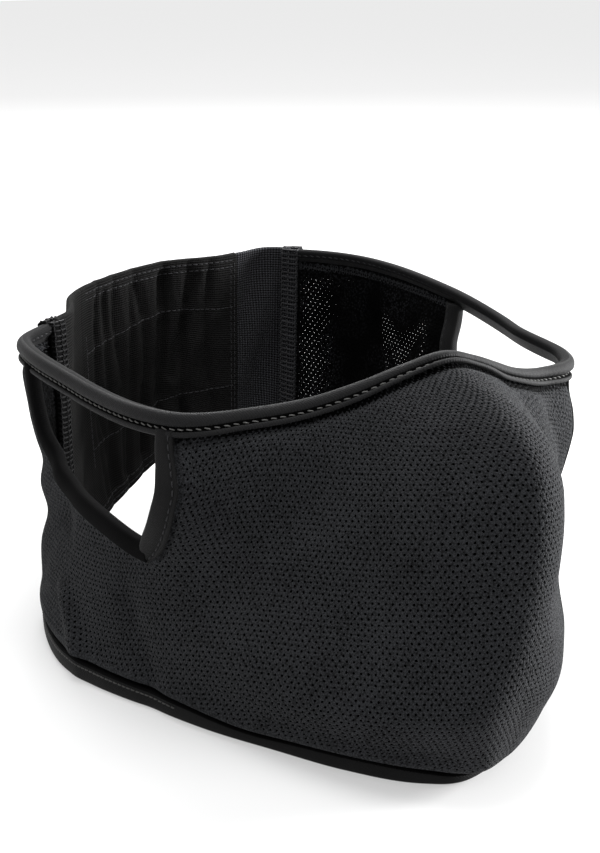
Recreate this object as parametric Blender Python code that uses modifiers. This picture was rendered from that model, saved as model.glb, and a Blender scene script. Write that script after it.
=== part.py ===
"""Half face mask: a standing ring of perforated mesh with two ear openings and a gathered back.

The wearer faces -Y and the mask stands on its lower binding at z = 0.  Every place on the cloth is
given by an angle round the ring (0 at the nose, positive towards the wearer's left) and by a level
(0 at the lower edge, 1 at the upper edge).
"""
import math

import bpy
import numpy as np
from mathutils import Vector

MM = 0.001

# Sizes of the ring
HALF_WIDTH = 80.0 * MM
FRONT_REACH = 132.0 * MM
BACK_REACH = 122.0 * MM
MASK_HEIGHT = 109.0 * MM
EAR_LINE_Y = 30.0 * MM
FOOT_LEAN = 11.0 * MM
BACK_LEAN = 3.0 * MM
RIM_TWIST = 3.5 * MM

# Sizes of the cloth and of its edges
MESH_THICKNESS = 2.5 * MM
BACK_THICKNESS = 1.6 * MM
CASING_THICKNESS = 2.4 * MM
GATHER_DEPTH = 2.6 * MM
FOLD_BREADTH = 10.0 * MM
FOLD_HEIGHT = 3.0 * MM
TOP_BINDING_WIDTH = 7.5 * MM
BOTTOM_BINDING_WIDTH = 6.5 * MM
BINDING_THICKNESS = 4.4 * MM
EAR_FRONT_TAPE_WIDTH = 6.8 * MM
EAR_REAR_TAPE_WIDTH = 5.8 * MM
EAR_TAPE_THICKNESS = 3.6 * MM
TAPE_END_GAP = 1.5 * MM
SEAM_WIDTH = 5.0 * MM
SEAM_THICKNESS = 2.0 * MM
SEAM_HOOK = 5.0 * MM
GAP = 0.45 * MM

# Places round the ring, in degrees
EAR_FRONT = 71.4
EAR_REAR = 110.0
SEAM_LEFT = 146.0
SEAM_RIGHT = -126.0
CASING_LEFT = 160.0
CASING_RIGHT = 210.0

# Level at which the overlocked seams start above the lower edge
SEAM_FOOT = 0.02

# How the front edge of an ear opening curves: degrees towards the back at each level, and the breadth of
# the cloth that curves with it
EAR_FRONT_TURN = {
    "level": (0.00, 0.20, 0.40, 0.46, 0.53, 0.58, 0.64, 0.70, 0.76, 0.82, 0.88, 0.94, 1.00),
    "back": (0.00, 1.30, 2.60, 2.60, 2.10, 0.95, -0.90, -2.20, -2.90, -2.10, -0.75, -0.10, 0.00),
}
TURN_BREADTH = 10.0

# Share of the back's reach over which the lean of the foot changes to the lean of the back
LEAN_CHANGE = 0.9

# Gathers of the casing: their number, how far they wander, the flat margin at each border, and how
# far from a border, a row of stitching or an edge they rise to their full depth
GATHERS = 7
GATHER_WANDER = 0.22
CASING_MARGIN = 0.045
BORDER_RISE = 0.08
ROW_RISE = 0.10
ROW_DEPTH = 0.45
EDGE_RISE = 0.12
EDGE_DEPTH = 0.35

# Rounding of the tapes' and the seams' edges, as shares of their thickness
TOP_ROUNDING = 0.30
BOTTOM_ROUNDING = 0.20
EAR_ROUNDING = 0.25
SEAM_ROUNDING = 0.20

# How finely the pieces are divided
FRONT_COLUMNS = 31
EAR_COLUMNS = 14
RIGHT_COLUMNS = 5
LEFT_COLUMNS = 9
PANEL_ROWS = 6
EDGE_COLUMN = 1.5
BACK_COLUMNS = 10
BACK_ROWS = 11
GATHER_COLUMNS = 4
CASING_LEVELS = 15
BINDING_COLUMNS = 73
RISE_STEPS = 4
SEAM_STEPS = 14

# Reach of the cloth from the middle of the ring, as shares of the reaches and of the half width
LEVELS = (0.00, 0.22, 0.48, 0.74, 0.89, 1.00)
RING = {
    "angle": (0, 15, 30, 45, 60, 73, 91, 110, 130, 148, 164, 180),
    "foot": (.868, .858, .808, .778, .805, .850, .963, .950, .980, .990, .950, .940),
    "chin": (.995, .985, .918, .862, .845, .870, .935, .970, 1.00, 1.02, .980, .960),
    "lips": (1.000, .925, .836, .802, .820, .872, .925, .980, 1.03, 1.05, 1.00, .980),
    "nostrils": (.970, .875, .750, .718, .812, .942, .952, 1.00, 1.05, 1.07, 1.02, 1.00),
    "bridge": (.850, .750, .660, .680, .760, .898, .960, 1.03, 1.06, 1.08, 1.03, 1.01),
    "rim": (.530, .530, .555, .600, .690, .880, .970, 1.04, 1.07, 1.08, 1.04, 1.02),
    "foot_height": (0, 0, 0, 0, 0, 0, 0, 0, .015, .055, .150, .235),
    "rim_height": (.986, .960, .921, .875, .839, .823, .826, .862, .875, .875, .880, .885),
}

# How far the two sides of the soft ring differ, as shares of the same reaches
SET = {
    "angle": (-180, -150, -132, -114, -95, -12, 3, 22, 45, 70, 91, 112, 132, 150, 165, 180),
    "foot": (0, -.05, -.10, 0, 0, 0, -.055, -.10, -.055, -.02, 0, 0, .08, .09, 0, 0),
    "rim": (0, -.06, -.12, .04, 0, 0, 0, 0, 0, .05, .01, 0, .09, .11, 0, 0),
}

# Folds: angle and level of each end, breadth and height as shares of a full fold's
FOLDS = {
    "from_angle": (-100, -97, -17, 20, 112, 128, -60, -4, 73),
    "from_level": (.47, .24, .40, .70, .80, .75, .46, .085, .82),
    "to_angle": (-117, -88, -15, 24, 120, 122, -75, 30, 72),
    "to_level": (.37, .09, .10, .36, .30, .35, .40, .10, .70),
    "breadth": (.70, .40, .90, .70, .80, .70, 1.2, .95, .90),
    "height": (-1.0, .55, -.45, .30, -.75, .60, -.35, 1.35, -.50),
}

# Lower edge of the ear opening: share of the way from its front to its rear, and level
EAR_EDGE = {
    "way": (0.00, 0.15, 0.34, 0.52, 0.69, 0.82, 0.92, 0.98, 1.00),
    "level": (.478, .478, .488, .508, .538, .580, .640, .717, .800),
}

# Rows of stitching across the casing: level at its left border and at its right border
CASING_ROWS = {"left": (.77, .41), "right": (.72, .32)}


def smooth_through(knots, values, places):
    """Smooth values at the places, passing through the value given at every knot."""
    knots = np.asarray(knots, float)
    values = np.asarray(values, float)
    places = np.asarray(places, float)
    slopes = np.gradient(values, axis=0) / np.gradient(knots)
    below = np.clip(np.searchsorted(knots, places, side="right") - 1, 0, len(knots) - 2)
    step = knots[below + 1] - knots[below]
    t = np.clip((places - knots[below]) / step, 0.0, 1.0)
    start = (2 * t ** 3 - 3 * t ** 2 + 1) * values[below] + (t ** 3 - 2 * t ** 2 + t) * step * slopes[below]
    end = (3 * t ** 2 - 2 * t ** 3) * values[below + 1] + (t ** 3 - t ** 2) * step * slopes[below + 1]
    return start + end


def ring_value(column, angle):
    """Value of one column of the ring table, the same on both sides of the mask."""
    angles = RING["angle"]
    values = RING[column]
    knots = (-angles[1],) + angles + (360 - angles[-2],)
    return smooth_through(knots, (values[1],) + values + (values[-2],), angle)


def foot_height(angle):
    """Height of the lower edge, which stands on the floor except where the back arches up."""
    return np.maximum(ring_value("foot_height", np.abs(signed(angle))), 0.0) * MASK_HEIGHT


def rim_height(angle):
    """Height of the upper edge before the ring's twist."""
    return ring_value("rim_height", np.abs(signed(angle))) * MASK_HEIGHT


def signed(angle):
    """The angle brought between -180 and 180 degrees."""
    return (np.asarray(angle, float) + 180.0) % 360.0 - 180.0


def ease(value):
    """Share between 0 and 1 that starts and ends softly."""
    share = np.clip(value, 0.0, 1.0)
    return share * share * (3.0 - 2.0 * share)


def plain_skin(angle, level):
    """Points of the outer face of the cloth, before its folds."""
    angle, level = np.broadcast_arrays(np.asarray(angle, float), np.asarray(level, float))
    side = signed(angle)
    columns = ("foot", "chin", "lips", "nostrils", "bridge", "rim")
    reaches = np.stack([ring_value(column, np.abs(side)) for column in columns])
    reach = level_value(reaches, level)
    reach = reach + smooth_through(SET["angle"], SET["foot"], side) * (1.0 - level)
    reach = reach + smooth_through(SET["angle"], SET["rim"], side) * level
    turn = np.radians(side)
    length = np.where(np.cos(turn) > 0.0, FRONT_REACH, BACK_REACH)
    y = EAR_LINE_Y - length * reach * np.cos(turn)
    back = ease((y - EAR_LINE_Y) / (LEAN_CHANGE * BACK_REACH))
    lean = FOOT_LEAN * (1.0 - back) + BACK_LEAN * back
    x = HALF_WIDTH * reach * np.sin(turn) - lean * (1.0 - level)
    low = foot_height(side)
    z = low + (rim_height(side) - low) * level + RIM_TWIST * (x / HALF_WIDTH) * back * level
    return np.stack([x, y, z], axis=-1)


def level_value(reaches, level):
    """Smooth value along the levels for a stack of values given at every level."""
    levels = np.asarray(LEVELS)
    slopes = np.gradient(reaches, axis=0)
    slopes = slopes / np.gradient(levels).reshape((-1,) + (1,) * level.ndim)
    below = np.clip(np.searchsorted(levels, level, side="right") - 1, 0, len(levels) - 2)
    step = levels[below + 1] - levels[below]
    t = (level - levels[below]) / step

    def pick(stack, index):
        return np.take_along_axis(stack, index[None], axis=0)[0]

    start = (2 * t ** 3 - 3 * t ** 2 + 1) * pick(reaches, below)
    start = start + (t ** 3 - 2 * t ** 2 + t) * step * pick(slopes, below)
    end = (3 * t ** 2 - 2 * t ** 3) * pick(reaches, below + 1)
    return start + end + (t ** 3 - t ** 2) * step * pick(slopes, below + 1)


def outward(surface, angle, level):
    """Unit directions that point out of the ring from a surface."""
    turn_step = 0.5
    level_step = 0.01
    along = surface(angle + turn_step, level) - surface(angle - turn_step, level)
    up = surface(angle, level + level_step) - surface(angle, level - level_step)
    direction = np.cross(along, up)
    return direction / np.linalg.norm(direction, axis=-1, keepdims=True)


def fold_height(angle, level):
    """Height of all the folds at the given places."""
    points = plain_skin(angle, level)
    total = np.zeros(points.shape[:-1])
    for row in range(len(FOLDS["height"])):
        start = plain_skin(FOLDS["from_angle"][row], FOLDS["from_level"][row])
        end = plain_skin(FOLDS["to_angle"][row], FOLDS["to_level"][row])
        line = end - start
        share = np.clip(((points - start) @ line) / (line @ line), 0.0, 1.0)
        away = np.linalg.norm(points - start - share[..., None] * line, axis=-1)
        breadth = FOLDS["breadth"][row] * FOLD_BREADTH
        total = total + FOLDS["height"][row] * FOLD_HEIGHT * np.exp(-(away / breadth) ** 2)
    return total


def ear_turn(angle, level):
    """Degrees by which the front edge of an ear opening runs back, forward again where it is below zero."""
    side = signed(angle)
    near = np.exp(-((np.abs(side) - EAR_FRONT) / TURN_BREADTH) ** 2)
    return np.sign(side) * near * smooth_through(EAR_FRONT_TURN["level"], EAR_FRONT_TURN["back"], level)


def skin(angle, level):
    """Points of the outer face of the cloth, with its folds."""
    angle, level = np.broadcast_arrays(np.asarray(angle, float), np.asarray(level, float))
    angle = angle + ear_turn(angle, level)
    height = fold_height(angle, level)
    return plain_skin(angle, level) + height[..., None] * outward(plain_skin, angle, level)


def turn_for(angle, level, distance):
    """Angle reached from a place by going the distance round the ring."""
    step = np.linalg.norm(plain_skin(angle + 0.5, level) - plain_skin(angle - 0.5, level), axis=-1)
    return angle + distance / step


def level_for(angle, level, distance):
    """Level reached from a place by going the distance up the cloth."""
    step = 0.02
    low = np.clip(level - step, 0.0, 1.0)
    high = np.clip(level + step, 0.0, 1.0)
    length = np.linalg.norm(plain_skin(angle, high) - plain_skin(angle, low), axis=-1)
    return level + distance * (high - low) / length


def ear_edge_level(angle):
    """Level of the cloth's edge below the ear opening."""
    way = (np.abs(signed(angle)) - EAR_FRONT) / (EAR_REAR - EAR_FRONT)
    return smooth_through(EAR_EDGE["way"], EAR_EDGE["level"], np.clip(way, 0.0, 1.0))


def ear_edge_angles(side, first, count):
    """Angles of even steps along the cloth's edge below the ear opening of one side."""
    dense = np.linspace(first, EAR_REAR, 120)
    line = plain_skin(side * dense, ear_edge_level(dense))
    steps = np.linalg.norm(np.diff(line, axis=0), axis=1)
    length = np.append(0.0, np.cumsum(steps))
    return np.interp(np.linspace(0.0, length[-1], count), length, dense)


def cloth_top(angle):
    """Level where the mesh ends below the upper binding."""
    return level_for(angle, np.ones_like(angle), -(TOP_BINDING_WIDTH + 2 * GAP))


def cloth_foot(angle):
    """Level where the mesh ends above the lower binding, clear of it on both faces."""
    tilt = outward(plain_skin, angle, np.full_like(angle, LEVELS[1] / 2))[..., 2]
    rise = BOTTOM_BINDING_WIDTH + GAP + MESH_THICKNESS * np.clip(tilt, 0.0, 1.0)
    return rise / (rim_height(angle) - foot_height(angle))


def make_material(name, colour, roughness):
    """Plain cloth material."""
    material = bpy.data.materials.new(name)
    material.use_nodes = True
    shader = material.node_tree.nodes["Principled BSDF"]
    shader.inputs["Base Color"].default_value = (*colour, 1.0)
    shader.inputs["Roughness"].default_value = roughness
    return material


def open_sheet(name, points, material, missing=None):
    """Open surface through a grid of points, with the faces marked as missing left out."""
    rows, columns = points.shape[:2]
    faces = []
    for i in range(rows - 1):
        for j in range(columns - 1):
            if missing is None or not missing[i, j]:
                corner = i * columns + j
                faces.append((corner, corner + columns, corner + columns + 1, corner + 1))
    used = sorted({index for face in faces for index in face})
    place = {index: order for order, index in enumerate(used)}
    flat = points.reshape(-1, 3)
    mesh = bpy.data.meshes.new(name)
    mesh.from_pydata([tuple(flat[index]) for index in used], [],
                     [tuple(place[index] for index in face) for face in faces])
    mesh.materials.append(material)
    part = bpy.data.objects.new(name, mesh)
    bpy.data.collections["half_face_mask"].objects.link(part)
    return part


def thicken(part, thickness, offset, rounding=0.0):
    """Give the open surface its thickness and, if asked, rounded edges."""
    solid = part.modifiers.new("thickness", "SOLIDIFY")
    solid.thickness = thickness
    solid.offset = offset
    solid.use_even_offset = True
    solid.thickness_clamp = 0.0
    if rounding > 0.0:
        bevel = part.modifiers.new("rounding", "BEVEL")
        bevel.width = rounding
        bevel.segments = 1
        bevel.limit_method = "ANGLE"
        bevel.angle_limit = math.radians(50.0)
    return part


def front_panel(material):
    """Perforated mesh from seam to seam, with an opening for each ear."""
    near_front = EAR_FRONT - EDGE_COLUMN
    near_rear = EAR_REAR + EDGE_COLUMN
    angles = np.concatenate([
        np.linspace(SEAM_RIGHT, -near_rear, RIGHT_COLUMNS),
        -ear_edge_angles(-1, EAR_FRONT, EAR_COLUMNS)[::-1],
        np.linspace(-near_front, near_front, FRONT_COLUMNS),
        ear_edge_angles(1, EAR_FRONT, EAR_COLUMNS),
        np.linspace(near_rear, SEAM_LEFT, LEFT_COLUMNS)])
    shares = np.linspace(0.0, 2.0, 2 * PANEL_ROWS + 1)
    middle = ear_edge_level(angles)
    foot = cloth_foot(angles)
    top = cloth_top(angles)
    rise = np.clip(shares[None, :], 0.0, 1.0)
    climb = np.clip(shares[None, :] - 1.0, 0.0, 1.0)
    levels = foot[:, None] + (middle - foot)[:, None] * rise + (top - middle)[:, None] * climb
    grid = np.repeat(angles[:, None], levels.shape[1], axis=1)
    grid[0] = turn_for(SEAM_RIGHT, levels[0], GAP / 2)
    grid[-1] = turn_for(SEAM_LEFT, levels[-1], -GAP / 2)
    centre = np.abs((angles[1:] + angles[:-1]) / 2)
    in_ear = (centre > EAR_FRONT) & (centre < EAR_REAR)
    missing = in_ear[:, None] & (np.arange(2 * PANEL_ROWS) >= PANEL_ROWS)[None, :]
    part = open_sheet("front_panel", skin(grid, levels), material, missing)
    return thicken(part, MESH_THICKNESS, -1.0)


def between(first, last, columns, rows):
    """Grid of angles and levels that keeps clear of the line at each of its two sides."""
    levels = np.linspace(0.0, 1.0, rows)
    start = turn_for(first, levels, 0.75 * GAP)
    end = turn_for(last, levels, -0.75 * GAP)
    shares = np.linspace(0.0, 1.0, columns)[:, None]
    grid = start + (end - start) * shares
    return grid, np.broadcast_to(levels, grid.shape)


def back_panel(name, first, last, material):
    """Plain knitted piece between a seam and the gathered casing."""
    grid, levels = between(first, last, BACK_COLUMNS, BACK_ROWS)
    return thicken(open_sheet(name, skin(grid, levels), material), BACK_THICKNESS, -1.0)


def row_level(row, angle):
    """Level of one row of stitching across the casing."""
    way = (angle - CASING_LEFT) / (CASING_RIGHT - CASING_LEFT)
    return CASING_ROWS["left"][row] + (CASING_ROWS["right"][row] - CASING_ROWS["left"][row]) * way


def gather_depth(angle, level):
    """Depth of the gathers, drawn flat along the borders, the edges and the rows of stitching."""
    way = (angle - CASING_LEFT) / (CASING_RIGHT - CASING_LEFT)
    calm = ease((way - CASING_MARGIN) / BORDER_RISE) * ease((1.0 - CASING_MARGIN - way) / BORDER_RISE)
    for row in range(len(CASING_ROWS["left"])):
        off_row = np.abs(level - row_level(row, angle))
        calm = calm * (ROW_DEPTH + (1.0 - ROW_DEPTH) * ease(off_row / ROW_RISE))
    for off_edge in (level, 1.0 - level):
        calm = calm * (EDGE_DEPTH + (1.0 - EDGE_DEPTH) * ease(off_edge / EDGE_RISE))
    wander = GATHER_WANDER * np.sin(5.0 * level + 9.0 * way)
    return -GATHER_DEPTH * calm * (0.5 - 0.5 * np.cos(2 * math.pi * (GATHERS * way + wander)))


def gathered_panel(material):
    """Elastic casing with upright gathers in the middle of the back."""
    grid, levels = between(CASING_LEFT, CASING_RIGHT, GATHER_COLUMNS * GATHERS + 1, CASING_LEVELS)
    points = skin(grid, levels) + gather_depth(grid, levels)[..., None] * outward(plain_skin, grid, levels)
    return thicken(open_sheet("gathered_panel", points, material), CASING_THICKNESS, -1.0)


def band_angles(first, last, count):
    """Angles of a binding that stops short of the two seams."""
    clear = SEAM_WIDTH / 2 + GAP
    return np.linspace(turn_for(first, 0.5, clear), turn_for(last, 0.5, -clear), count)


def top_binding(material):
    """Folded tape along the upper edge, running on over both ears as straps."""
    angles = band_angles(SEAM_RIGHT, SEAM_LEFT, BINDING_COLUMNS)
    edge = level_for(angles, np.ones_like(angles), -TOP_BINDING_WIDTH)
    grid = np.stack([angles, angles], axis=1)
    levels = np.stack([edge, np.ones_like(angles)], axis=1)
    points = skin(grid, levels) - outward(plain_skin, grid, levels) * MESH_THICKNESS / 2
    part = open_sheet("top_binding", points, material)
    return thicken(part, BINDING_THICKNESS, 0.0, TOP_ROUNDING * BINDING_THICKNESS)


def bottom_binding(material):
    """Folded tape along the lower edge, flat underneath where the mask stands."""
    angles = band_angles(SEAM_RIGHT, SEAM_LEFT, BINDING_COLUMNS)
    half = level_for(angles, np.zeros_like(angles), BOTTOM_BINDING_WIDTH / 2)
    line = skin(angles, half)
    flat = outward(plain_skin, angles, half) * (1.0, 1.0, 0.0)
    flat = flat / np.linalg.norm(flat, axis=-1, keepdims=True)
    line = line - flat * MESH_THICKNESS / 2
    bottom = np.stack([line[:, 0], line[:, 1], foot_height(angles)], axis=1)
    top = bottom + (0.0, 0.0, BOTTOM_BINDING_WIDTH)
    part = open_sheet("bottom_binding", np.stack([bottom, top], axis=1), material)
    return thicken(part, BINDING_THICKNESS, 0.0, BOTTOM_ROUNDING * BINDING_THICKNESS)


def tape(name, angles, levels, inner, outer, material):
    """Ear tape between two distances from the cloth's edge, on the open side of that edge."""
    line = skin(angles, levels)
    normal = outward(plain_skin, angles, levels)
    steps = np.diff(line, axis=0)
    steps = steps / np.linalg.norm(steps, axis=1, keepdims=True)
    along = np.concatenate([steps[:1], steps[:-1] + steps[1:], steps[-1:]])
    across = np.cross(along, normal)
    across = across / np.linalg.norm(across, axis=-1, keepdims=True)
    middle = line - normal * MESH_THICKNESS / 2
    points = np.stack([middle + across * inner, middle + across * outer], axis=1)
    part = open_sheet(name, points, material)
    return thicken(part, EAR_TAPE_THICKNESS, 0.0, EAR_ROUNDING * EAR_TAPE_THICKNESS)


def strap_foot(angle):
    """Level at which an ear tape ends below the strap."""
    return level_for(angle, 1.0, -(TOP_BINDING_WIDTH + TAPE_END_GAP))


def ear_front_binding(name, side, material):
    """Tape down the front edge of an ear opening."""
    angle = side * EAR_FRONT
    corner = EAR_EDGE["level"][0]
    bottom = level_for(angle, corner, 2 * GAP)
    rows = corner + (cloth_top(angle) - corner) * np.arange(1, PANEL_ROWS) / PANEL_ROWS
    levels = np.concatenate([[strap_foot(angle)], rows[::-1], [bottom]])
    if side > 0:
        levels = levels[::-1]
    angles = np.full_like(levels, angle)
    return tape(name, angles, levels, 1.5 * GAP, GAP + EAR_FRONT_TAPE_WIDTH, material)


def ear_rear_binding(name, side, material):
    """Tape along the lower edge of an ear opening and up its rear edge."""
    first = abs(turn_for(EAR_FRONT, EAR_EDGE["level"][0], EAR_FRONT_TAPE_WIDTH + 2 * GAP))
    along = ear_edge_angles(side, first, EAR_COLUMNS)
    edge = ear_edge_level(along)
    rise = np.linspace(edge[-1], strap_foot(side * EAR_REAR), RISE_STEPS)[1:]
    angles = side * np.concatenate([along, np.full_like(rise, EAR_REAR)])
    levels = np.concatenate([edge, rise])
    if side < 0:
        angles, levels = angles[::-1], levels[::-1]
    return tape(name, angles, levels, -1.5 * GAP, -1.5 * GAP - EAR_REAR_TAPE_WIDTH, material)


def overlock_seam(name, seam, material):
    """Thick overlocked seam inside the ring, turned over the upper edge."""
    angles = turn_for(seam, 0.5, np.array([-0.5, 0.0, 0.5]) * SEAM_WIDTH)
    levels = np.linspace(SEAM_FOOT, 1.0, SEAM_STEPS)
    grid, heights = np.meshgrid(angles, levels, indexing="ij")
    normal = outward(plain_skin, grid, heights)
    inside = skin(grid, heights) - normal * (MESH_THICKNESS + GAP)
    up = np.array((0.0, 0.0, 1.0))
    last = skin(angles, np.ones(3))
    out = normal[:, -1]
    crest = last - out * MESH_THICKNESS / 2 + up * 2 * GAP
    front = last + out * GAP
    low = level_for(angles, np.ones(3), -SEAM_HOOK)
    hem = skin(angles, low) + outward(plain_skin, angles, low) * GAP
    points = np.concatenate([inside, crest[:, None], front[:, None], hem[:, None]], axis=1)
    part = open_sheet(name, points, material)
    return thicken(part, SEAM_THICKNESS, -1.0, SEAM_ROUNDING * SEAM_THICKNESS)


def stand_on_origin(parts):
    """Move the parts so that the middle of their footprint is at the origin."""
    view = bpy.context.evaluated_depsgraph_get()
    corners = []
    for part in parts:
        shape = part.evaluated_get(view)
        corners.extend(shape.matrix_world @ Vector(corner) for corner in shape.bound_box)
    low = Vector(min(corner[axis] for corner in corners) for axis in range(3))
    high = Vector(max(corner[axis] for corner in corners) for axis in range(3))
    shift = Vector((-(low.x + high.x) / 2, -(low.y + high.y) / 2, -low.z))
    for part in parts:
        for vertex in part.data.vertices:
            vertex.co += shift


def clear_scene():
    """Start with nothing in the scene."""
    for thing in list(bpy.data.objects):
        bpy.data.objects.remove(thing, do_unlink=True)
    collection = bpy.data.collections.new("half_face_mask")
    bpy.context.scene.collection.children.link(collection)


def build_mask():
    """Build every sub-part of the mask."""
    clear_scene()
    mesh_cloth = make_material("charcoal_mesh", (.030, .031, .034), .85)
    top_tape = make_material("grey_tape", (.040, .041, .044), .60)
    dark_tape = make_material("black_tape", (.014, .014, .015), .70)
    knit = make_material("black_knit", (.022, .022, .024), .90)
    ribbed = make_material("black_ribbed_knit", (.016, .016, .018), .92)
    thread = make_material("grey_thread", (.060, .060, .064), .80)
    parts = [
        front_panel(mesh_cloth),
        back_panel("back_panel_left", SEAM_LEFT, CASING_LEFT, knit),
        back_panel("back_panel_right", CASING_RIGHT, SEAM_RIGHT + 360.0, knit),
        gathered_panel(ribbed),
        top_binding(top_tape),
        bottom_binding(dark_tape),
        ear_front_binding("ear_front_binding_left", 1, top_tape),
        ear_front_binding("ear_front_binding_right", -1, top_tape),
        ear_rear_binding("ear_rear_binding_left", 1, top_tape),
        ear_rear_binding("ear_rear_binding_right", -1, top_tape),
        overlock_seam("overlock_seam_left", SEAM_LEFT, thread),
        overlock_seam("overlock_seam_right", SEAM_RIGHT, thread),
    ]
    stand_on_origin(parts)


build_mask()
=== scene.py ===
import math

import bmesh
import bpy
import numpy as np
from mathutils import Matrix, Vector


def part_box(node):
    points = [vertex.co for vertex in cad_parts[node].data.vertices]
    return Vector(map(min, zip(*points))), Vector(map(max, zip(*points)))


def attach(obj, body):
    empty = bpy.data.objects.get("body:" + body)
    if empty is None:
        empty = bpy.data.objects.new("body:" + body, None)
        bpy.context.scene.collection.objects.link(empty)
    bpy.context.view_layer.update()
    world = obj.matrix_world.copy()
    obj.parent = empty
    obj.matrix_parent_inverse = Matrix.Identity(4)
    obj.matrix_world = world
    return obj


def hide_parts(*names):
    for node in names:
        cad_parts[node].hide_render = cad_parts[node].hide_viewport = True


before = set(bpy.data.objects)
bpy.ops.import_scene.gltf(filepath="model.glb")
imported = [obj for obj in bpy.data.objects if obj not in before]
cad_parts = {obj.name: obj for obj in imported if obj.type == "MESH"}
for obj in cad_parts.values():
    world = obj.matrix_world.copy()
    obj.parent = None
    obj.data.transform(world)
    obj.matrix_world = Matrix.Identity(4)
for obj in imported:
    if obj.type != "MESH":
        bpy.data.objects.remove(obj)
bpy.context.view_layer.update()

# Places on the cloth are an angle round the ring (0 at the nose, positive towards the wearer's left, in
# degrees) and a level (0 at the lower edge, 1 at the upper edge).  Lengths are in metres, and those in the
# tables in millimetres where the table says so.
MM = 0.001

# Sizes of the ring, the same as the solids'
HALF_WIDTH = 80.0 * MM
FRONT_REACH = 132.0 * MM
BACK_REACH = 122.0 * MM
MASK_HEIGHT = 109.0 * MM
EAR_LINE_Y = 30.0 * MM
FOOT_LEAN = 11.0 * MM
BACK_LEAN = 3.0 * MM
RIM_TWIST = 3.5 * MM
LEAN_CHANGE = 0.9
MESH_THICKNESS = 2.5 * MM
BACK_THICKNESS = 1.6 * MM
CASING_THICKNESS = 2.4 * MM
TOP_BINDING_WIDTH = 7.5 * MM
BOTTOM_BINDING_WIDTH = 6.5 * MM
FOLD_BREADTH = 10.0 * MM
FOLD_HEIGHT = 3.0 * MM
GATHER_DEPTH = 2.6 * MM
EAR_FRONT = 71.4
EAR_REAR = 110.0
TURN_BREADTH = 10.0
SEAM_LEFT = 146.0
SEAM_RIGHT = -126.0
CASING_LEFT = 160.0
CASING_RIGHT = 210.0

# Reach of the cloth from the middle of the ring, as shares of the reaches and of the half width
LEVELS = (0.00, 0.22, 0.48, 0.74, 0.89, 1.00)
RING = {
    "angle": (0, 15, 30, 45, 60, 73, 91, 110, 130, 148, 164, 180),
    "foot": (.868, .858, .808, .778, .805, .850, .963, .950, .980, .990, .950, .940),
    "chin": (.995, .985, .918, .862, .845, .870, .935, .970, 1.00, 1.02, .980, .960),
    "lips": (1.000, .925, .836, .802, .820, .872, .925, .980, 1.03, 1.05, 1.00, .980),
    "nostrils": (.970, .875, .750, .718, .812, .942, .952, 1.00, 1.05, 1.07, 1.02, 1.00),
    "bridge": (.850, .750, .660, .680, .760, .898, .960, 1.03, 1.06, 1.08, 1.03, 1.01),
    "rim": (.530, .530, .555, .600, .690, .880, .970, 1.04, 1.07, 1.08, 1.04, 1.02),
    "foot_height": (0, 0, 0, 0, 0, 0, 0, 0, .015, .055, .150, .235),
    "rim_height": (.986, .960, .921, .875, .839, .823, .826, .862, .875, .875, .880, .885),
}

# What is added to the reach at the lower and at the upper edge, different on the two sides
SET = {
    "angle": (-180, -150, -132, -114, -95, -12, 3, 22, 45, 70, 91, 112, 132, 150, 165, 180),
    "foot": (0, -.05, -.10, 0, 0, 0, -.055, -.10, -.055, -.02, 0, 0, .08, .09, 0, 0),
    "rim": (0, -.06, -.12, .04, 0, 0, 0, 0, 0, .05, .01, 0, .09, .11, 0, 0),
}

# Folds of the solids: angle and level of each end, breadth and height as shares of the fold's sizes
FOLDS = {
    "from_angle": (-100, -97, -17, 20, 112, 128, -60, -4, 73),
    "from_level": (.47, .24, .40, .70, .80, .75, .46, .085, .82),
    "to_angle": (-117, -88, -15, 24, 120, 122, -75, 30, 72),
    "to_level": (.37, .09, .10, .36, .30, .35, .40, .10, .70),
    "breadth": (.70, .40, .90, .70, .80, .70, 1.2, .95, .90),
    "height": (-1.0, .55, -.45, .30, -.75, .60, -.35, 1.35, -.50),
}

# Edge of the cloth below an ear opening, how many degrees the opening's front edge runs back, and the
# length of a degree there
EAR_EDGE = {
    "way": (0.00, 0.06, 0.15, 0.34, 0.52, 0.69, 0.82, 0.92, 0.98, 1.00),
    "level": (.490, .490, .496, .520, .537, .556, .588, .643, .717, .800),
}
EAR_FRONT_TURN = {
    "level": (0.00, 0.20, 0.40, 0.46, 0.53, 0.58, 0.64, 0.70, 0.76, 0.82, 0.88, 0.94, 1.00),
    "back": (0.00, 1.30, 2.60, 2.60, 2.10, 0.95, -0.90, -2.20, -2.90, -2.10, -0.75, -0.10, 0.00),
}
EAR_DEGREE = 1.85 * MM

# Creases too fine for the solids: angle and level of each end, breadth and height in millimetres
CREASES = {
    "from_angle": (-101, -95, -80, -106, 8, 2, 42, 58, -40, -113, 110, 84, 74, 70, 70, 50),
    "from_level": (.50, .22, .34, .60, .86, .94, .80, .84, .70, .76, .85, .90, .90, .53, .76, .24),
    "to_angle": (-108, -88, -72, -116, 30, 9, 50, 62, -58, -116, 108, 90, 76, 84, 82, 62),
    "to_level": (.20, .10, .10, .56, .55, .76, .62, .66, .52, .95, .65, 1.0, .58, .57, .74, .26),
    "breadth": (3.5, 3.2, 5.0, 6.0, 4.5, 4.0, 12.0, 8.0, 6.0, 7.0, 6.0, 9.0, 6.0, 8.0, 6.0, 9.0),
    "height": (-.5, 1.2, -1.7, -2.0, .5, .4, 3.9, -1.8, -.4, 1.1, 1.5, -1.2, -1.8, 1.8, -1.1, 1.3),
}

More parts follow.
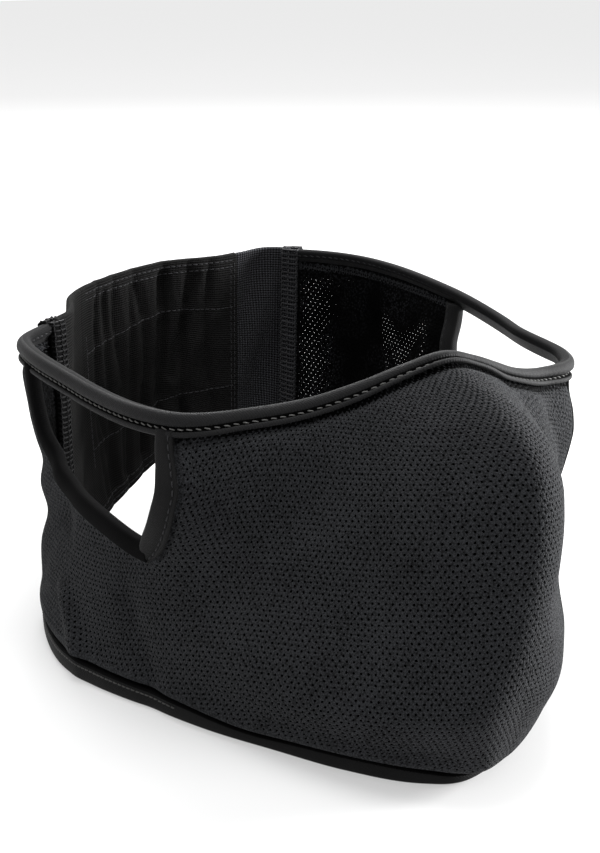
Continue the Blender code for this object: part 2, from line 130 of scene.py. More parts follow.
# Creases of the gathered casing, with the same columns, and its two rows of stitching
CASING_CREASES = {
    "from_angle": (200.5, 191.0, 181.0, 171.5, 205.5, 196.0, 188.5, 166.5, 176.0),
    "from_level": (.95, .93, .95, .93, .42, .46, .42, .74, .30),
    "to_angle": (200.0, 192.5, 184.0, 179.0, 203.5, 196.5, 189.0, 177.5, 175.0),
    "to_level": (.06, .34, .10, .42, .06, .08, .10, .36, .12),
    "breadth": (1.7, 1.6, 2.1, 1.9, 1.5, 1.4, 1.5, 3.2, 1.5),
    "height": (2.4, 2.0, 2.8, 2.1, 1.6, 1.5, 1.6, -1.7, 1.4),
}
CASING_ROWS = {"left": (.77, .41), "right": (.72, .32), "sag": (0.0, .080)}

# Pitch, length and radius of the casing's stitches
CASING_STITCH = (2.2 * MM, 1.95 * MM, 0.17 * MM)

# Height of the lower binding's outer half and how far the cloth stands out over it, in millimetres
HEM = {
    "angle": (-126, -95, -82, -65, -50, -36, -22, -14, -6, 4, 20, 40, 60, 80, 146),
    "height": (6.2, 6.4, 6.2, 5.1, 3.2, 4.3, 4.6, 3.6, 2.0, 0.9, 0.8, 2.0, 4.0, 5.8, 6.2),
    "puff": (1.5, 1.5, 1.5, 1.7, 1.9, 2.0, 2.0, 1.8, 1.3, 0.8, 0.5, 0.7, 1.1, 1.5, 1.5),
}

# The cloth's lower edge, placed by what the camera sees: the slit over the binding, the slope of the line
# of sight, how far the binding stands out, how far up the edge is looked for, and over how many
# neighbours on each side it is evened out
HEM_SLIT = 1.20 * MM
HEM_SLOPE = 0.306
HEM_BAND_OUT = 2.1 * MM
EDGE_SEARCH = 14.0 * MM
EDGE_EVENED = 4

# How far up the cloth puffs out, and where its inner face begins
OVERHANG_BREADTH = 4.5 * MM
INNER_FOOT = 3.2 * MM

# How far below the upper edge the two faces of the mesh cloth end, and how far they reach under the tapes
# of the ears
OUTER_TOP = 3.5 * MM
INNER_TOP = 1.8 * MM
UNDER_TAPE = 1.7 * MM

# Valleys of the cloth at the seams, below the upper band and beside the front tapes of the ears
SEAM_DIP = 1.3 * MM
SEAM_DIP_BREADTH = 2.2 * MM
RIM_TUCK = 1.2 * MM
RIM_TUCK_BREADTH = 2.3 * MM
TAPE_DIP = 1.2 * MM
TAPE_DIP_BREADTH = 0.9 * MM

# Pinholes of the mesh cloth, in rows that are offset by half a pitch.  The rows fall away from the nose
# on both sides, steadily past the curve at the nose and level again behind the ears.
HOLE_PITCH = 2.1 * MM
ROW_PITCH = 1.45 * MM
ROW_FALL = 0.31
ROW_CURVE = 40.0 * MM
ROW_REACH = 110.0 * MM
ROW_FADE = 35.0 * MM
HOLE_RADIUS = 0.39 * MM
LINING_HOLE_RADIUS = 0.33 * MM
INNER_HOLE_RADIUS = 0.105 * MM
HOLE_UNEVEN = (0.80, 1.18)
HOLE_DEPTH = 0.22 * MM
CUP_DEPTH = 1.60 * MM
LINING_CUP_DEPTH = 0.50 * MM
HOLE_CLEAR = 1.2 * MM
HOLE_CLEAR_OF_HEM = 1.3 * MM
HOLE_CLEAR_OF_SEAM = 1.4 * MM

# Angle behind which the inner face has open holes, and the spans where the eye grazes the outer face and
# its holes are cupped
LINING_END = 98.0
GRAZED = ((SEAM_RIGHT, -96.0), (16.0, LINING_END))

# Ribs of the elastic knit
RIB_PITCH = 0.95 * MM
RIB_HEIGHT = 0.11 * MM
RIBBED_HEIGHT = 0.8 * MASK_HEIGHT

# Stitches
STITCH_PITCH = 2.9 * MM
STITCH_LENGTH = 2.1 * MM
THREAD_RADIUS = 0.24 * MM

# Section of the upper binding's outer half, in millimetres: distance out from the cloth's middle and down
# from its edge.  The groove that holds the stitches is made of the faces named here.
TOP_SECTION = {
    "out": (0.35, 1.15, 1.80, 2.15, 2.28, 2.22, 1.95, 1.55, 0.62,
            0.50, 0.50, 0.62, 1.50, 1.82, 1.92, 1.84, 1.30),
    "down": (0.05, 0.25, 0.85, 1.70, 2.70, 3.50, 4.05, 4.32, 4.52,
             4.80, 5.40, 5.66, 5.86, 6.10, 6.55, 7.20, 7.60),
    "inside": (0.35, 1.15, 1.80, 2.15, 2.28, 2.25, 2.20, 2.15, 2.10,
               2.02, 1.95, 1.95, 1.96, 1.97, 1.95, 1.80, 1.30),
}
# Faces of the groove, which get a nearly black copy of the tape: painted shade in the groove
TOP_SHADED_GROOVE_FACES = range(7, 12)
TOP_INSIDE_SHARE = 0.50
TOP_NARROWS = {
    "angle": (-126, -60, -45, -30, -15, 0, 20, 75, 146),
    "share": (0.97, 0.97, 0.94, 0.89, 0.86, 0.84, 0.83, 0.82, 0.84),
}
TOP_STITCH_DOWN = 5.15 * MM
TOP_STITCH_OUT = 1.22 * MM
TOP_BOBBIN_OUT = 2.00 * MM
TOP_PUCKER_DOWN = 4.1 * MM
TOP_PUCKER_BREADTH = 0.7 * MM
TOP_EDGE_DOWN = 6.0 * MM
TOP_EDGE_BREADTH = 1.6 * MM
TOP_STITCH_PITCH = 2.7 * MM
TOP_STITCH_LENGTH = 1.75 * MM
TOP_THREAD_RADIUS = 0.21 * MM

# Section of the lower binding: distance out from the cloth's middle in millimetres and share of its height
FOOT_SECTION = {
    "out": (1.30, 1.95, 2.15, 2.22, 2.20, 2.12, 1.98, 1.60, 0.80, 0.15),
    "up": (0.005, 0.05, 0.16, 0.32, 0.50, 0.68, 0.84, 0.96, 1.00, 0.97),
}
# Faces of the binding's fold under the cloth's edge, which get a nearly black copy of the tape: painted shade
# of the crevice
FOOT_SHADED_FOLD_FACES = (6, 7, 8, 9)
FOOT_INSIDE = 6.0 * MM

# Stitches of the lower binding, with the length and radius of those outside and inside.  Those outside are
# sewn only where the binding is higher than the last of these sizes.
FOOT_STITCH_BELOW = 1.9 * MM
FOOT_STITCH_OUT = 2.02 * MM
FOOT_STITCH_PITCH = 1.8 * MM
FOOT_OUTER_STITCH = (1.3 * MM, 0.25 * MM)
FOOT_INNER_STITCH = (1.2 * MM, 0.20 * MM)
FOOT_STITCHED = 5.2 * MM

# Sections of the ear tapes' outer half, in millimetres: distance out from the cloth's middle, and the way
# across from the cloth towards the opening, as a share of the front tape's breadth or in millimetres
EAR_FRONT_SECTION = {
    "out": (0.90, 1.55, 1.88, 1.90, 1.62, 1.42, 1.62, 1.92, 2.02, 2.02, 1.92, 1.55, 0.80),
    "share": (0.04, 0.00, 0.03, 0.11, 0.18, 0.23, 0.29, 0.38, 0.54, 0.72, 0.87, 0.95, 1.00),
}
EAR_REAR_SECTION = {
    "out": (1.30, 1.72, 1.98, 2.15, 2.30, 2.35, 2.32, 2.20, 1.95, 1.50, 0.80),
    "across": (-0.5, -0.4, 0.0, 0.6, 1.4, 2.3, 3.2, 4.0, 4.8, 5.4, 5.7),
}

# How far the front tape reaches over the cloth at each level, in millimetres across from the cloth's edge,
# and the level at which it ends at each share of its breadth
EAR_FRONT_REACH = {
    "level": (0.475, 0.490, 0.505, 0.52, 0.54, 0.56, 0.59, 0.64, 0.70, 0.76, 0.82, 0.93),
    "across": (3.0, 1.8, 0.2, -1.4, -2.7, -3.3, -3.4, -2.4, -1.1, -0.45, 0.3, 1.0),
}
EAR_TIP = {"share": (0.0, 0.3, 0.6, 1.0), "level": (0.482, 0.486, 0.498, 0.514)}
EAR_FRONT_OPEN_SIDE = 7.25 * MM
EAR_TAPE_TOP = TOP_BINDING_WIDTH - 2.0 * MM
EAR_STITCH_SHARE = 0.23
EAR_STITCH_OUT = 1.56 * MM
EAR_STITCH_PITCH = 2.6 * MM
EAR_REAR_STITCH_OUT = 2.06 * MM
EAR_REAR_STITCH_ACROSS = 1.2 * MM

# Section of the overlocked seam across its breadth, in millimetres, and of the part that is turned over the
# upper edge: distance out and lift in millimetres, and the tilt of its face in degrees
SEAM_SECTION = {
    "across": (-3.5, -3.15, -1.575, 0.0, 1.575, 3.15, 3.5),
    "rise": (0.35, 1.30, 1.75, 1.85, 1.75, 1.30, 0.35),
}
SEAM_HOOK = {
    "out": (-2.2, -0.8, 0.7, 1.6, 1.85, 1.75, 1.2),
    "lift": (-0.3, 0.4, 0.4, -0.3, -1.7, -3.6, -5.0),
    "tilt": (-60, -15, 25, 60, 90, 90, 95),
}
SEAM_THICKNESS = 1.4 * MM
SEAM_THREAD_PITCH = 1.75 * MM

# Rows of thread along an overlocked seam: the point of the section each lies on and its slant
SEAM_THREAD_ROWS = {"column": (1, 3, 5), "slant": (0.35, -0.30, 0.35)}
BAND_CLEAR_OF_SEAM = 2.6 * MM

# Camera: where it stands and how it looks, matched to the photograph
CAMERA_PLACE = (-259.1 * MM, -480.25 * MM, 234.4 * MM)
CAMERA_AZIMUTH = -28.0
CAMERA_ELEVATION = 17.0
CAMERA_LENS = 75.97

# Lamps: place, size and power
LAMPS = {
    "side": ((1.00, -0.25, 0.27), 0.44, 27.0),
    "top": ((0.05, 0.15, 1.10), 0.70, 8.0),
    "back": ((0.35, 0.90, 0.75), 0.60, 10.0),
}
LAMP_AIM = (0.0, 0.0, 0.05)

RANDOM = np.random.default_rng(11)


def hermite(share, step, values, slopes):
    """Smooth value at a share of the step between two knots, from the values and slopes at both."""
    start = (2 * share ** 3 - 3 * share ** 2 + 1) * values[0]
    start = start + (share ** 3 - 2 * share ** 2 + share) * step * slopes[0]
    end = (3 * share ** 2 - 2 * share ** 3) * values[1] + (share ** 3 - share ** 2) * step * slopes[1]
    return start + end


def smooth_through(knots, values, places):
    """Smooth values at the places, passing through the value given at every knot."""
    knots = np.asarray(knots, float)
    values = np.asarray(values, float)
    places = np.asarray(places, float)
    slopes = np.gradient(values, axis=0) / np.gradient(knots)
    below = np.clip(np.searchsorted(knots, places, side="right") - 1, 0, len(knots) - 2)
    step = knots[below + 1] - knots[below]
    share = np.clip((places - knots[below]) / step, 0.0, 1.0)
    return hermite(share, step, (values[below], values[below + 1]), (slopes[below], slopes[below + 1]))


def ease(value):
    """Share between 0 and 1 that starts and ends softly."""
    share = np.clip(value, 0.0, 1.0)
    return share * share * (3.0 - 2.0 * share)


def bell(distance, breadth):
    """Share that is 1 at no distance and fades away softly on both sides."""
    return np.exp(-(distance / breadth) ** 2)


def unit(vectors):
    """The vectors at length one."""
    return vectors / np.linalg.norm(vectors, axis=-1, keepdims=True)


def pairs(first, second):
    """Pairs of values, each spread over the shape of the other."""
    return np.stack(np.broadcast_arrays(first, second), axis=-1)


def lengths_along(line):
    """Distance of each point of a line from its start."""
    steps = np.linalg.norm(np.diff(line, axis=0), axis=1)
    return np.append(0.0, np.cumsum(steps))


def at_lengths(line, lengths, places):
    """Values of a line's rows at the given distances along it."""
    return np.stack([np.interp(places, lengths, line[:, axis]) for axis in range(line.shape[1])], axis=-1)


def steadied(line, reach):
    """The line with every point averaged over its neighbours, its ends held."""
    padded = np.concatenate([2 * line[:1] - line[reach:0:-1], line, 2 * line[-1:] - line[-2:-reach - 2:-1]])
    weights = np.hanning(2 * reach + 3)[1:-1]
    weights = weights / weights.sum()
    return np.stack([np.convolve(padded[:, axis], weights, "valid") for axis in range(3)], axis=-1)


def signed(angle):
    """The angle brought between -180 and 180 degrees."""
    return (np.asarray(angle, float) + 180.0) % 360.0 - 180.0


def ring_value(column, angle):
    """Value of one column of the ring table, the same on both sides of the mask."""
    angles = RING["angle"]
    values = RING[column]
    knots = (-angles[1],) + angles + (360 - angles[-2],)
    return smooth_through(knots, (values[1],) + values + (values[-2],), angle)


def foot_height(angle):
    """Height of the lower edge."""
    return np.maximum(ring_value("foot_height", np.abs(signed(angle))), 0.0) * MASK_HEIGHT


def rim_height(angle):
    """Height of the upper edge before the ring's twist."""
    return ring_value("rim_height", np.abs(signed(angle))) * MASK_HEIGHT


def level_value(reaches, level):
    """Smooth value along the levels for a stack of values given at every level."""
    levels = np.asarray(LEVELS)
    slopes = np.gradient(reaches, axis=0)
    slopes = slopes / np.gradient(levels).reshape((-1,) + (1,) * level.ndim)
    below = np.clip(np.searchsorted(levels, level, side="right") - 1, 0, len(levels) - 2)
    step = levels[below + 1] - levels[below]

    def both_ends(stack):
        return [np.take_along_axis(stack, index[None], axis=0)[0] for index in (below, below + 1)]

    return hermite((level - levels[below]) / step, step, both_ends(reaches), both_ends(slopes))


def ring_point(angle, level):
    """Points of the outer face of the cloth, before its folds, from the ring's own middle."""
    angle, level = np.broadcast_arrays(np.asarray(angle, float), np.asarray(level, float))
    side = signed(angle)
    columns = ("foot", "chin", "lips", "nostrils", "bridge", "rim")
    reach = level_value(np.stack([ring_value(column, np.abs(side)) for column in columns]), level)
    reach = reach + smooth_through(SET["angle"], SET["foot"], side) * (1.0 - level)
    reach = reach + smooth_through(SET["angle"], SET["rim"], side) * level
    turn = np.radians(side)
    length = np.where(np.cos(turn) > 0.0, FRONT_REACH, BACK_REACH)
    y = EAR_LINE_Y - length * reach * np.cos(turn)
    back = ease((y - EAR_LINE_Y) / (LEAN_CHANGE * BACK_REACH))
    lean = FOOT_LEAN * (1.0 - back) + BACK_LEAN * back
    x = HALF_WIDTH * reach * np.sin(turn) - lean * (1.0 - level)
    low = foot_height(side)
    z = low + (rim_height(side) - low) * level + RIM_TWIST * (x / HALF_WIDTH) * back * level
    return np.stack([x, y, z], axis=-1)


def ring_place():
    """Where the ring's own middle lies in the frame, read from the back panel's box."""
    low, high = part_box("back_panel_right")
    turns, levels = np.meshgrid(np.linspace(CASING_RIGHT, SEAM_RIGHT + 360.0, 61), np.linspace(0, 1, 61))
    points = ring_point(turns, levels)
    return np.array([low.x - points[..., 0].min(), high.y - points[..., 1].max(), 0.0])


RING_PLACE = ring_place()


def plain_skin(angle, level):
    """Points of the outer face of the cloth, before its folds, in the frame."""
    return ring_point(angle, level) + RING_PLACE


def outward(angle, level):
    """Unit directions that point out of the ring."""
    turn_step = 0.5
    level_step = 0.01
    along = ring_point(angle + turn_step, level) - ring_point(angle - turn_step, level)
    up = ring_point(angle, level + level_step) - ring_point(angle, level - level_step)
    return unit(np.cross(along, up))


def level_outward(angle, level):
    """Unit directions that point out of the ring and lie level."""
    return unit(outward(angle, level) * (1.0, 1.0, 0.0))


def fold_height(table, angle, level, breadth_unit, height_unit):
    """Height of all the folds of a table at the given places."""
    points = plain_skin(angle, level)
    total = np.zeros(points.shape[:-1])
    for row in range(len(table["height"])):
        start = plain_skin(table["from_angle"][row], table["from_level"][row])
        end = plain_skin(table["to_angle"][row], table["to_level"][row])
        line = end - start
        share = np.clip(((points - start) @ line) / (line @ line), 0.0, 1.0)
        away = np.linalg.norm(points - start - share[..., None] * line, axis=-1)
        breadth = table["breadth"][row] * breadth_unit
        total = total + table["height"][row] * height_unit * bell(away, breadth)
    return total


def ear_turn(angle, level):
    """Degrees by which the front edge of an ear opening runs back, forward again where it is below zero."""
    side = signed(angle)
    near = bell(np.abs(side) - EAR_FRONT, TURN_BREADTH)
    return np.sign(side) * near * smooth_through(EAR_FRONT_TURN["level"], EAR_FRONT_TURN["back"], level)


def cloth(angle, level, out=0.0):
    """Points on the folded cloth, at a height out over its outer face."""
    angle, level = np.broadcast_arrays(np.asarray(angle, float), np.asarray(level, float))
    angle = angle + ear_turn(angle, level)
    height = fold_height(FOLDS, angle, level, FOLD_BREADTH, FOLD_HEIGHT)
    height = height + fold_height(CREASES, angle, level, MM, MM) + out
    return plain_skin(angle, level) + height[..., None] * outward(angle, level)


def mesh_middle(angle, level, out=0.0):
    """Points at a height out from the middle of the mesh cloth's thickness."""
    return cloth(angle, level, out - MESH_THICKNESS / 2)


def turn_for(angle, level, distance):
    """Angle reached from a place by going the distance round the ring."""
    step = np.linalg.norm(plain_skin(angle + 0.5, level) - plain_skin(angle - 0.5, level), axis=-1)
    return angle + distance / step


def level_for(angle, level, distance):
    """Level reached from a place by going the distance up the cloth."""
    step = 0.02
    low = np.clip(level - step, 0.0, 1.0)
    high = np.clip(level + step, 0.0, 1.0)
    length = np.linalg.norm(plain_skin(angle, high) - plain_skin(angle, low), axis=-1)
    return level + distance * (high - low) / length


def ear_edge_level(angle):
    """Level of the cloth's edge below the ear opening."""
    way = (np.abs(signed(angle)) - EAR_FRONT) / (EAR_REAR - EAR_FRONT)
    return smooth_through(EAR_EDGE["way"], EAR_EDGE["level"], np.clip(way, 0.0, 1.0))


# Flat pattern of the mesh cloth: how far along the ring and how far up the cloth each place is
FLAT_LEVEL = 0.45
FLAT_ANGLES = np.linspace(SEAM_RIGHT, SEAM_LEFT, 409)
FLAT_LEVELS = np.linspace(0.0, 1.0, 91)
FLAT_ALONG = lengths_along(plain_skin(FLAT_ANGLES, FLAT_LEVEL))
CLOTH_LENGTH = FLAT_ALONG[-1]
NOSE_ALONG = float(np.interp(0.0, FLAT_ANGLES, FLAT_ALONG))


def rising_lengths(angles):
    """Distance up the cloth of every flat level, a row for each angle."""
    grid = plain_skin(angles[:, None], FLAT_LEVELS[None, :])
    steps = np.linalg.norm(np.diff(grid, axis=1), axis=2)
    return np.concatenate([np.zeros((len(angles), 1)), np.cumsum(steps, axis=1)], axis=1)


FLAT_UP = rising_lengths(FLAT_ANGLES)
UP_STEPS = np.linspace(0.0, FLAT_UP.max(), 161)
LEVEL_AT_UP = np.stack([np.interp(UP_STEPS, row, FLAT_LEVELS) for row in FLAT_UP])


def from_flat(along, up):
    """Angle and level of places on the flat pattern."""
    angle = np.interp(along, FLAT_ALONG, FLAT_ANGLES)
    column = np.interp(angle, FLAT_ANGLES, np.arange(len(FLAT_ANGLES)))
    row = np.clip(up, 0.0, UP_STEPS[-1]) / UP_STEPS[1]
    i = np.clip(column.astype(int), 0, len(FLAT_ANGLES) - 2)
    j = np.clip(row.astype(int), 0, len(UP_STEPS) - 2)
    s, t = column - i, row - j
    lower = LEVEL_AT_UP[i, j] * (1 - t) + LEVEL_AT_UP[i, j + 1] * t
    upper = LEVEL_AT_UP[i + 1, j] * (1 - t) + LEVEL_AT_UP[i + 1, j + 1] * t
    return angle, lower * (1 - s) + upper * s


def up_of_rim(along):
    """Distance up the cloth of its upper edge."""
    return np.interp(along, FLAT_ALONG, FLAT_UP[:, -1])


def in_ear_opening(along, up):
    """Whether places on the flat pattern are in an ear opening."""
    angle, level = from_flat(along, up)
    across = np.abs(angle)
    return (across > EAR_FRONT) & (across < EAR_REAR) & (level > ear_edge_level(angle))


def has_cloth(along, up, margin):
    """Whether the cloth reaches a place and its surroundings within a margin, hems left aside."""
    fits = (up > margin) & (up < up_of_rim(along) - margin)
    for step_along, step_up in ((0, 0), (1, 0), (-1, 0), (0, 1), (0, -1)):
        fits &= ~in_ear_opening(along + step_along * margin, up + step_up * margin)
    return fits


def under_tape(along, up, margin):
    """Whether a place is on the cloth, or past its edge at an ear opening by no more than a margin."""
    covered = np.zeros(along.shape, bool)
    for step_along, step_up in ((0, 0), (1, 0), (-1, 0), (0, -1)):
        covered |= ~in_ear_opening(along + step_along * margin, up + step_up * margin)
    return covered


def hem(column, angle):
    """Value of one column of the hem table, in metres."""
    return smooth_through(HEM["angle"], HEM[column], angle) * MM


def foot_middle(angles):
    """Middle of the mesh cloth where the lower binding holds it, and the level directions out of the ring."""
    level = level_for(angles, np.zeros_like(angles), BOTTOM_BINDING_WIDTH / 2)
    level_out = level_outward(angles, level)
    return cloth(angles, level) - level_out * MESH_THICKNESS / 2, level_out


def edge_places():
    """Distance up the cloth at which it is cut off just above the lower binding, at every flat angle.

    It is the first place where the camera's line of sight, which falls by the hem's slope, clears the
    binding by the slit.  The edge is evened out over its neighbours afterwards.
    """
    ups = np.linspace(0.0, EDGE_SEARCH, 57)
    angle, up = np.broadcast_arrays(FLAT_ANGLES[:, None], ups[None, :])
    points = cloth(angle, level_for(angle, np.zeros_like(up), up))
    middle, level_out = foot_middle(FLAT_ANGLES)
    out = np.sum((points - middle[:, None]) * level_out[:, None], axis=-1) + hem("puff", FLAT_ANGLES)[:, None]
    seen = points[..., 2] - foot_height(FLAT_ANGLES)[:, None] - HEM_SLOPE * out
    wanted = hem("height", FLAT_ANGLES) + HEM_SLIT - HEM_SLOPE * HEM_BAND_OUT
    first = np.argmax(seen >= wanted[:, None], axis=1)
    weights = np.hanning(2 * EDGE_EVENED + 3)[1:-1]
    return np.convolve(np.pad(ups[first], EDGE_EVENED, "edge"), weights / weights.sum(), "valid")


EDGE_UP = edge_places()


def lowest_up(along, facing):
    """Distance up the cloth at which its outer or inner face begins."""
    outer = np.interp(along, FLAT_ALONG, EDGE_UP)
    return outer if facing > 0 else np.full_like(outer, INNER_FOOT)


def overhang(angle, up):
    """Distance by which the cloth puffs out at a height above its lower edge."""
    over = np.maximum(up - np.interp(angle, FLAT_ANGLES, EDGE_UP), 0.0)
    return hem("puff", angle) * bell(over, OVERHANG_BREADTH)


def puffed(angle, level, up, out):
    """Points of the cloth, pushed level outwards where it hangs over the lower binding."""
    return cloth(angle, level, out) + level_outward(angle, level) * overhang(angle, up)[:, None]


def valley(away):
    """Depth of the valley at a distance from a seam."""
    return SEAM_DIP * bell(away, SEAM_DIP_BREADTH)


def seam_dip(along):
    """Depth of the valley in the cloth at its two seams."""
    return valley(np.minimum(along, CLOTH_LENGTH - along))


def rim_tuck(along, up):
    """Depth by which the upper binding presses the cloth's face in."""
    below = np.maximum(up_of_rim(along) - TOP_BINDING_WIDTH - up, 0.0)
    return RIM_TUCK * bell(below, RIM_TUCK_BREADTH)


def tape_dip(angle, level):
    """Depth of the valley in the cloth beside the front tapes of the ears."""
    dip = np.zeros_like(angle)
    for side in (1.0, -1.0):
        across = smooth_through(EAR_FRONT_REACH["level"], EAR_FRONT_REACH["across"], level) * MM
        edge = turn_for(np.full_like(level, side * EAR_FRONT), level, side * across)
        away = (edge - angle) * side * EAR_DEGREE - 0.5 * MM
        dip = dip + TAPE_DIP * bell(away, TAPE_DIP_BREADTH) * ease((level - 0.485) / 0.03)
    return dip


def row_fall(along):
    """How far a row of pinholes lies below its height at the nose."""
    away = np.abs(along - NOSE_ALONG)
    past = np.maximum(away - ROW_REACH, 0.0)
    away = np.minimum(away, ROW_REACH) + ROW_FADE * (1.0 - np.exp(-past / ROW_FADE))
    return ROW_FALL * (np.sqrt(away ** 2 + ROW_CURVE ** 2) - ROW_CURVE)


def within(angle, spans):
    """Whether an angle lies in any of the spans."""
    return np.any([(angle >= first) & (angle < last) for first, last in spans], axis=0)


def add_piece(name, points, faces, material, spots=None, closed=True):
    """Mesh piece that rides on the mask, smooth shaded, with the flat place of each point as its UV map."""
    mesh = bpy.data.meshes.new(name)
    mesh.from_pydata(np.asarray(points).reshape(-1, 3).tolist(), [], faces)
    if closed:
        shape = bmesh.new()
        shape.from_mesh(mesh)
        bmesh.ops.recalc_face_normals(shape, faces=shape.faces)
        shape.to_mesh(mesh)
        shape.free()
    if spots is not None:
        corners = np.zeros(len(mesh.loops), np.int32)
        mesh.loops.foreach_get("vertex_index", corners)
        layer = mesh.uv_layers.new(name="cloth")
        flat = (np.asarray(spots, float).reshape(-1, 2) / MM)[corners]
        layer.data.foreach_set("uv", flat.astype(np.float32).ravel())
    mesh.materials.append(material)
    mesh.shade_smooth()
    piece = bpy.data.objects.new(name, mesh)
    bpy.context.scene.collection.objects.link(piece)
    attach(piece, "root")
    return piece


def tube_faces(runs, rings, sides):
    """Faces of many closed tubes, whose points are in order of run, ring and side."""
    faces = []
    for run in range(runs):
        base = run * rings * sides
        for ring in range(rings - 1):
            low = base + ring * sides
            for side in range(sides):
                after = (side + 1) % sides
                faces.append((low + side, low + after, low + sides + after, low + sides + side))
        faces.append(tuple(base + side for side in range(sides))[::-1])
        faces.append(tuple(base + (rings - 1) * sides + side for side in range(sides)))
    return faces


def tubes(centres, outs, radius, sides=6):
    """Points and faces of tubes along lines of shape (tubes, points, 3); radius may vary along them."""
    along = unit(np.gradient(centres, axis=1))
    across = unit(np.cross(along, outs))
    up = np.cross(across, along)
    radius = np.broadcast_to(radius, centres.shape[:2])[..., None, None]
    turns = np.arange(sides) * 2 * math.pi / sides
    ring = across[:, :, None] * np.cos(turns)[:, None] + up[:, :, None] * np.sin(turns)[:, None]
    points = centres[:, :, None] + ring * radius
    return points.reshape(-1, 3), tube_faces(centres.shape[0], centres.shape[1], sides)


def stitch_row(line, outs, pitch=STITCH_PITCH, length=STITCH_LENGTH, radius=THREAD_RADIUS, slant=0.0):
    """Points and faces of a row of stitches that lie on a line and dive into the cloth at their ends."""
    lengths = lengths_along(line)
    count = max(1, int(lengths[-1] / pitch))
    middles = (np.arange(count) + 0.5) * lengths[-1] / count
    middles = middles + RANDOM.normal(0.0, 0.03 * pitch, count)
    shares = np.array([-0.5, -0.36, 0.0, 0.36, 0.5])
    places = middles[:, None] + shares * length * RANDOM.uniform(0.9, 1.06, (count, 1))
    centres = at_lengths(line, lengths, places)
    out = unit(at_lengths(outs, lengths, places))
    across = unit(np.cross(np.gradient(centres, axis=1), out))
    drift = (slant + RANDOM.normal(0.0, 0.05, (count, 1))) * shares * length
    rise = np.array([-1.1, 0.05, 0.55, 0.05, -1.1]) * radius
    centres = centres + out * rise[:, None] + across * drift[..., None]
    swell = np.array([0.55, 0.95, 1.0, 0.95, 0.55]) * radius
    return tubes(centres, out, swell)


def join_parts(parts):
    """Points and faces of several parts as one."""
    points, faces, first = [], [], 0
    for part_points, part_faces in parts:
        points.append(part_points)
        faces.extend(tuple(index + first for index in face) for face in part_faces)
        first += len(part_points)
    return np.concatenate(points), faces


def add_stitches(name, rows, thread):
    """Rows of stitches as one piece."""
    points, faces = join_parts(rows)
    return add_piece(name, points, faces, thread)


def sweep(name, places, material, spots, inside=None, fold=None, fold_faces=()):
    """Closed piece through stations of shape (stations, section points, 3).

    The inner half of the section may be of the inside material, a darker copy that paints shade, and the
    faces listed last of a third, darker one that paints deep shade.
    """
    stations, count = places.shape[:2]
    piece = add_piece(name, places, tube_faces(1, stations, count), material, spots)
    if inside is not None:
        piece.data.materials.append(inside)
        piece.data.materials.append(fold)
        index = np.zeros(len(piece.data.polygons), np.int32)
        kinds = (np.arange(count) >= count // 2).astype(int)
        kinds[list(fold_faces)] = 2
        index[:(stations - 1) * count] = np.tile(kinds, stations - 1)
        piece.data.polygons.foreach_set("material_index", index)
    return piece


def grid_faces(index):
    """Four-sided faces between the neighbours of a grid of point numbers."""
    corners = (index[:-1, :-1], index[1:, :-1], index[1:, 1:], index[:-1, 1:])
    return list(zip(*(part.ravel().tolist() for part in corners)))


def turned_hem():
    """Strip by which the cloth's lower edge turns in over the lower binding: points, faces, flat places."""
    along = np.linspace(0.0, CLOTH_LENGTH, 601)
    foot = lowest_up(along, 1.0)
    angle, level = from_flat(along, foot)
    edge = puffed(angle, level, foot, -seam_dip(along))
    level_out = level_outward(angle, level)
    rows = []
    flats = []
    for drop, tuck in ((0.0, 0.0), (0.14, 0.30), (0.10, 1.20), (0.0, 2.60)):
        rows.append(edge - level_out * tuck * MM - np.array([0.0, 0.0, drop * MM]))
        flats.append(pairs(along, foot - (drop + tuck) * MM))
    index = np.arange(len(rows) * len(along)).reshape(len(rows), len(along))
    return np.concatenate(rows), grid_faces(index), np.concatenate(flats)


def hole_lattice(facing, spans):
    """Middles of the pinholes' cells within spans of angles, as distances along and heights of their rows."""
    columns = int(CLOTH_LENGTH / HOLE_PITCH) + 2
    rows = int((UP_STEPS[-1] + row_fall(0.0)) / ROW_PITCH) + 2
    drop = 0.0 if facing > 0 else ROW_PITCH / 2
    under_band = OUTER_TOP if facing > 0 else INNER_TOP
    j, i = np.meshgrid(np.arange(rows), np.arange(columns), indexing="ij")
    along = (i * HOLE_PITCH + (j % 2) * HOLE_PITCH / 2).ravel()
    height = (j * ROW_PITCH - drop).ravel()
    up = height - row_fall(along)
    inside = (along < CLOTH_LENGTH) & (up < up_of_rim(along) - under_band)
    inside &= up > lowest_up(along, facing) - 0.76 * ROW_PITCH
    inside &= under_tape(along, up, UNDER_TAPE)
    inside &= within(np.interp(along, FLAT_ALONG, FLAT_ANGLES), spans)
    return along[inside], height[inside]


def cell_corners(along, height):
    """Corners of the six-sided cells, each kept once, and the numbers of every cell's six corners."""
    half = HOLE_PITCH / 2
    side = (ROW_PITCH ** 2 - half ** 2) / (2 * ROW_PITCH)
    tip = ROW_PITCH - side
    cell_along = np.array([half, 0, -half, -half, 0, half])
    cell_up = np.array([side, tip, side, -side, -tip, -side])
    flat = pairs(along[:, None] + cell_along, height[:, None] + cell_up).reshape(-1, 2)
    keys = np.round(flat / (0.01 * MM)).astype(np.int64)
    _, first, shared = np.unique(keys, axis=0, return_index=True, return_inverse=True)
    return flat[first], shared.reshape(-1, 6)


def takes_hole(along, up, facing):
    """Whether a cell is far enough from every edge, seam and tape to have a hole."""
    free = has_cloth(along, up, HOLE_CLEAR) & (up > lowest_up(along, facing) + HOLE_CLEAR_OF_HEM)
    free &= (along > HOLE_CLEAR_OF_SEAM) & (along < CLOTH_LENGTH - HOLE_CLEAR_OF_SEAM)
    return free & (up < up_of_rim(along) - TOP_BINDING_WIDTH + 2.0 * MM)


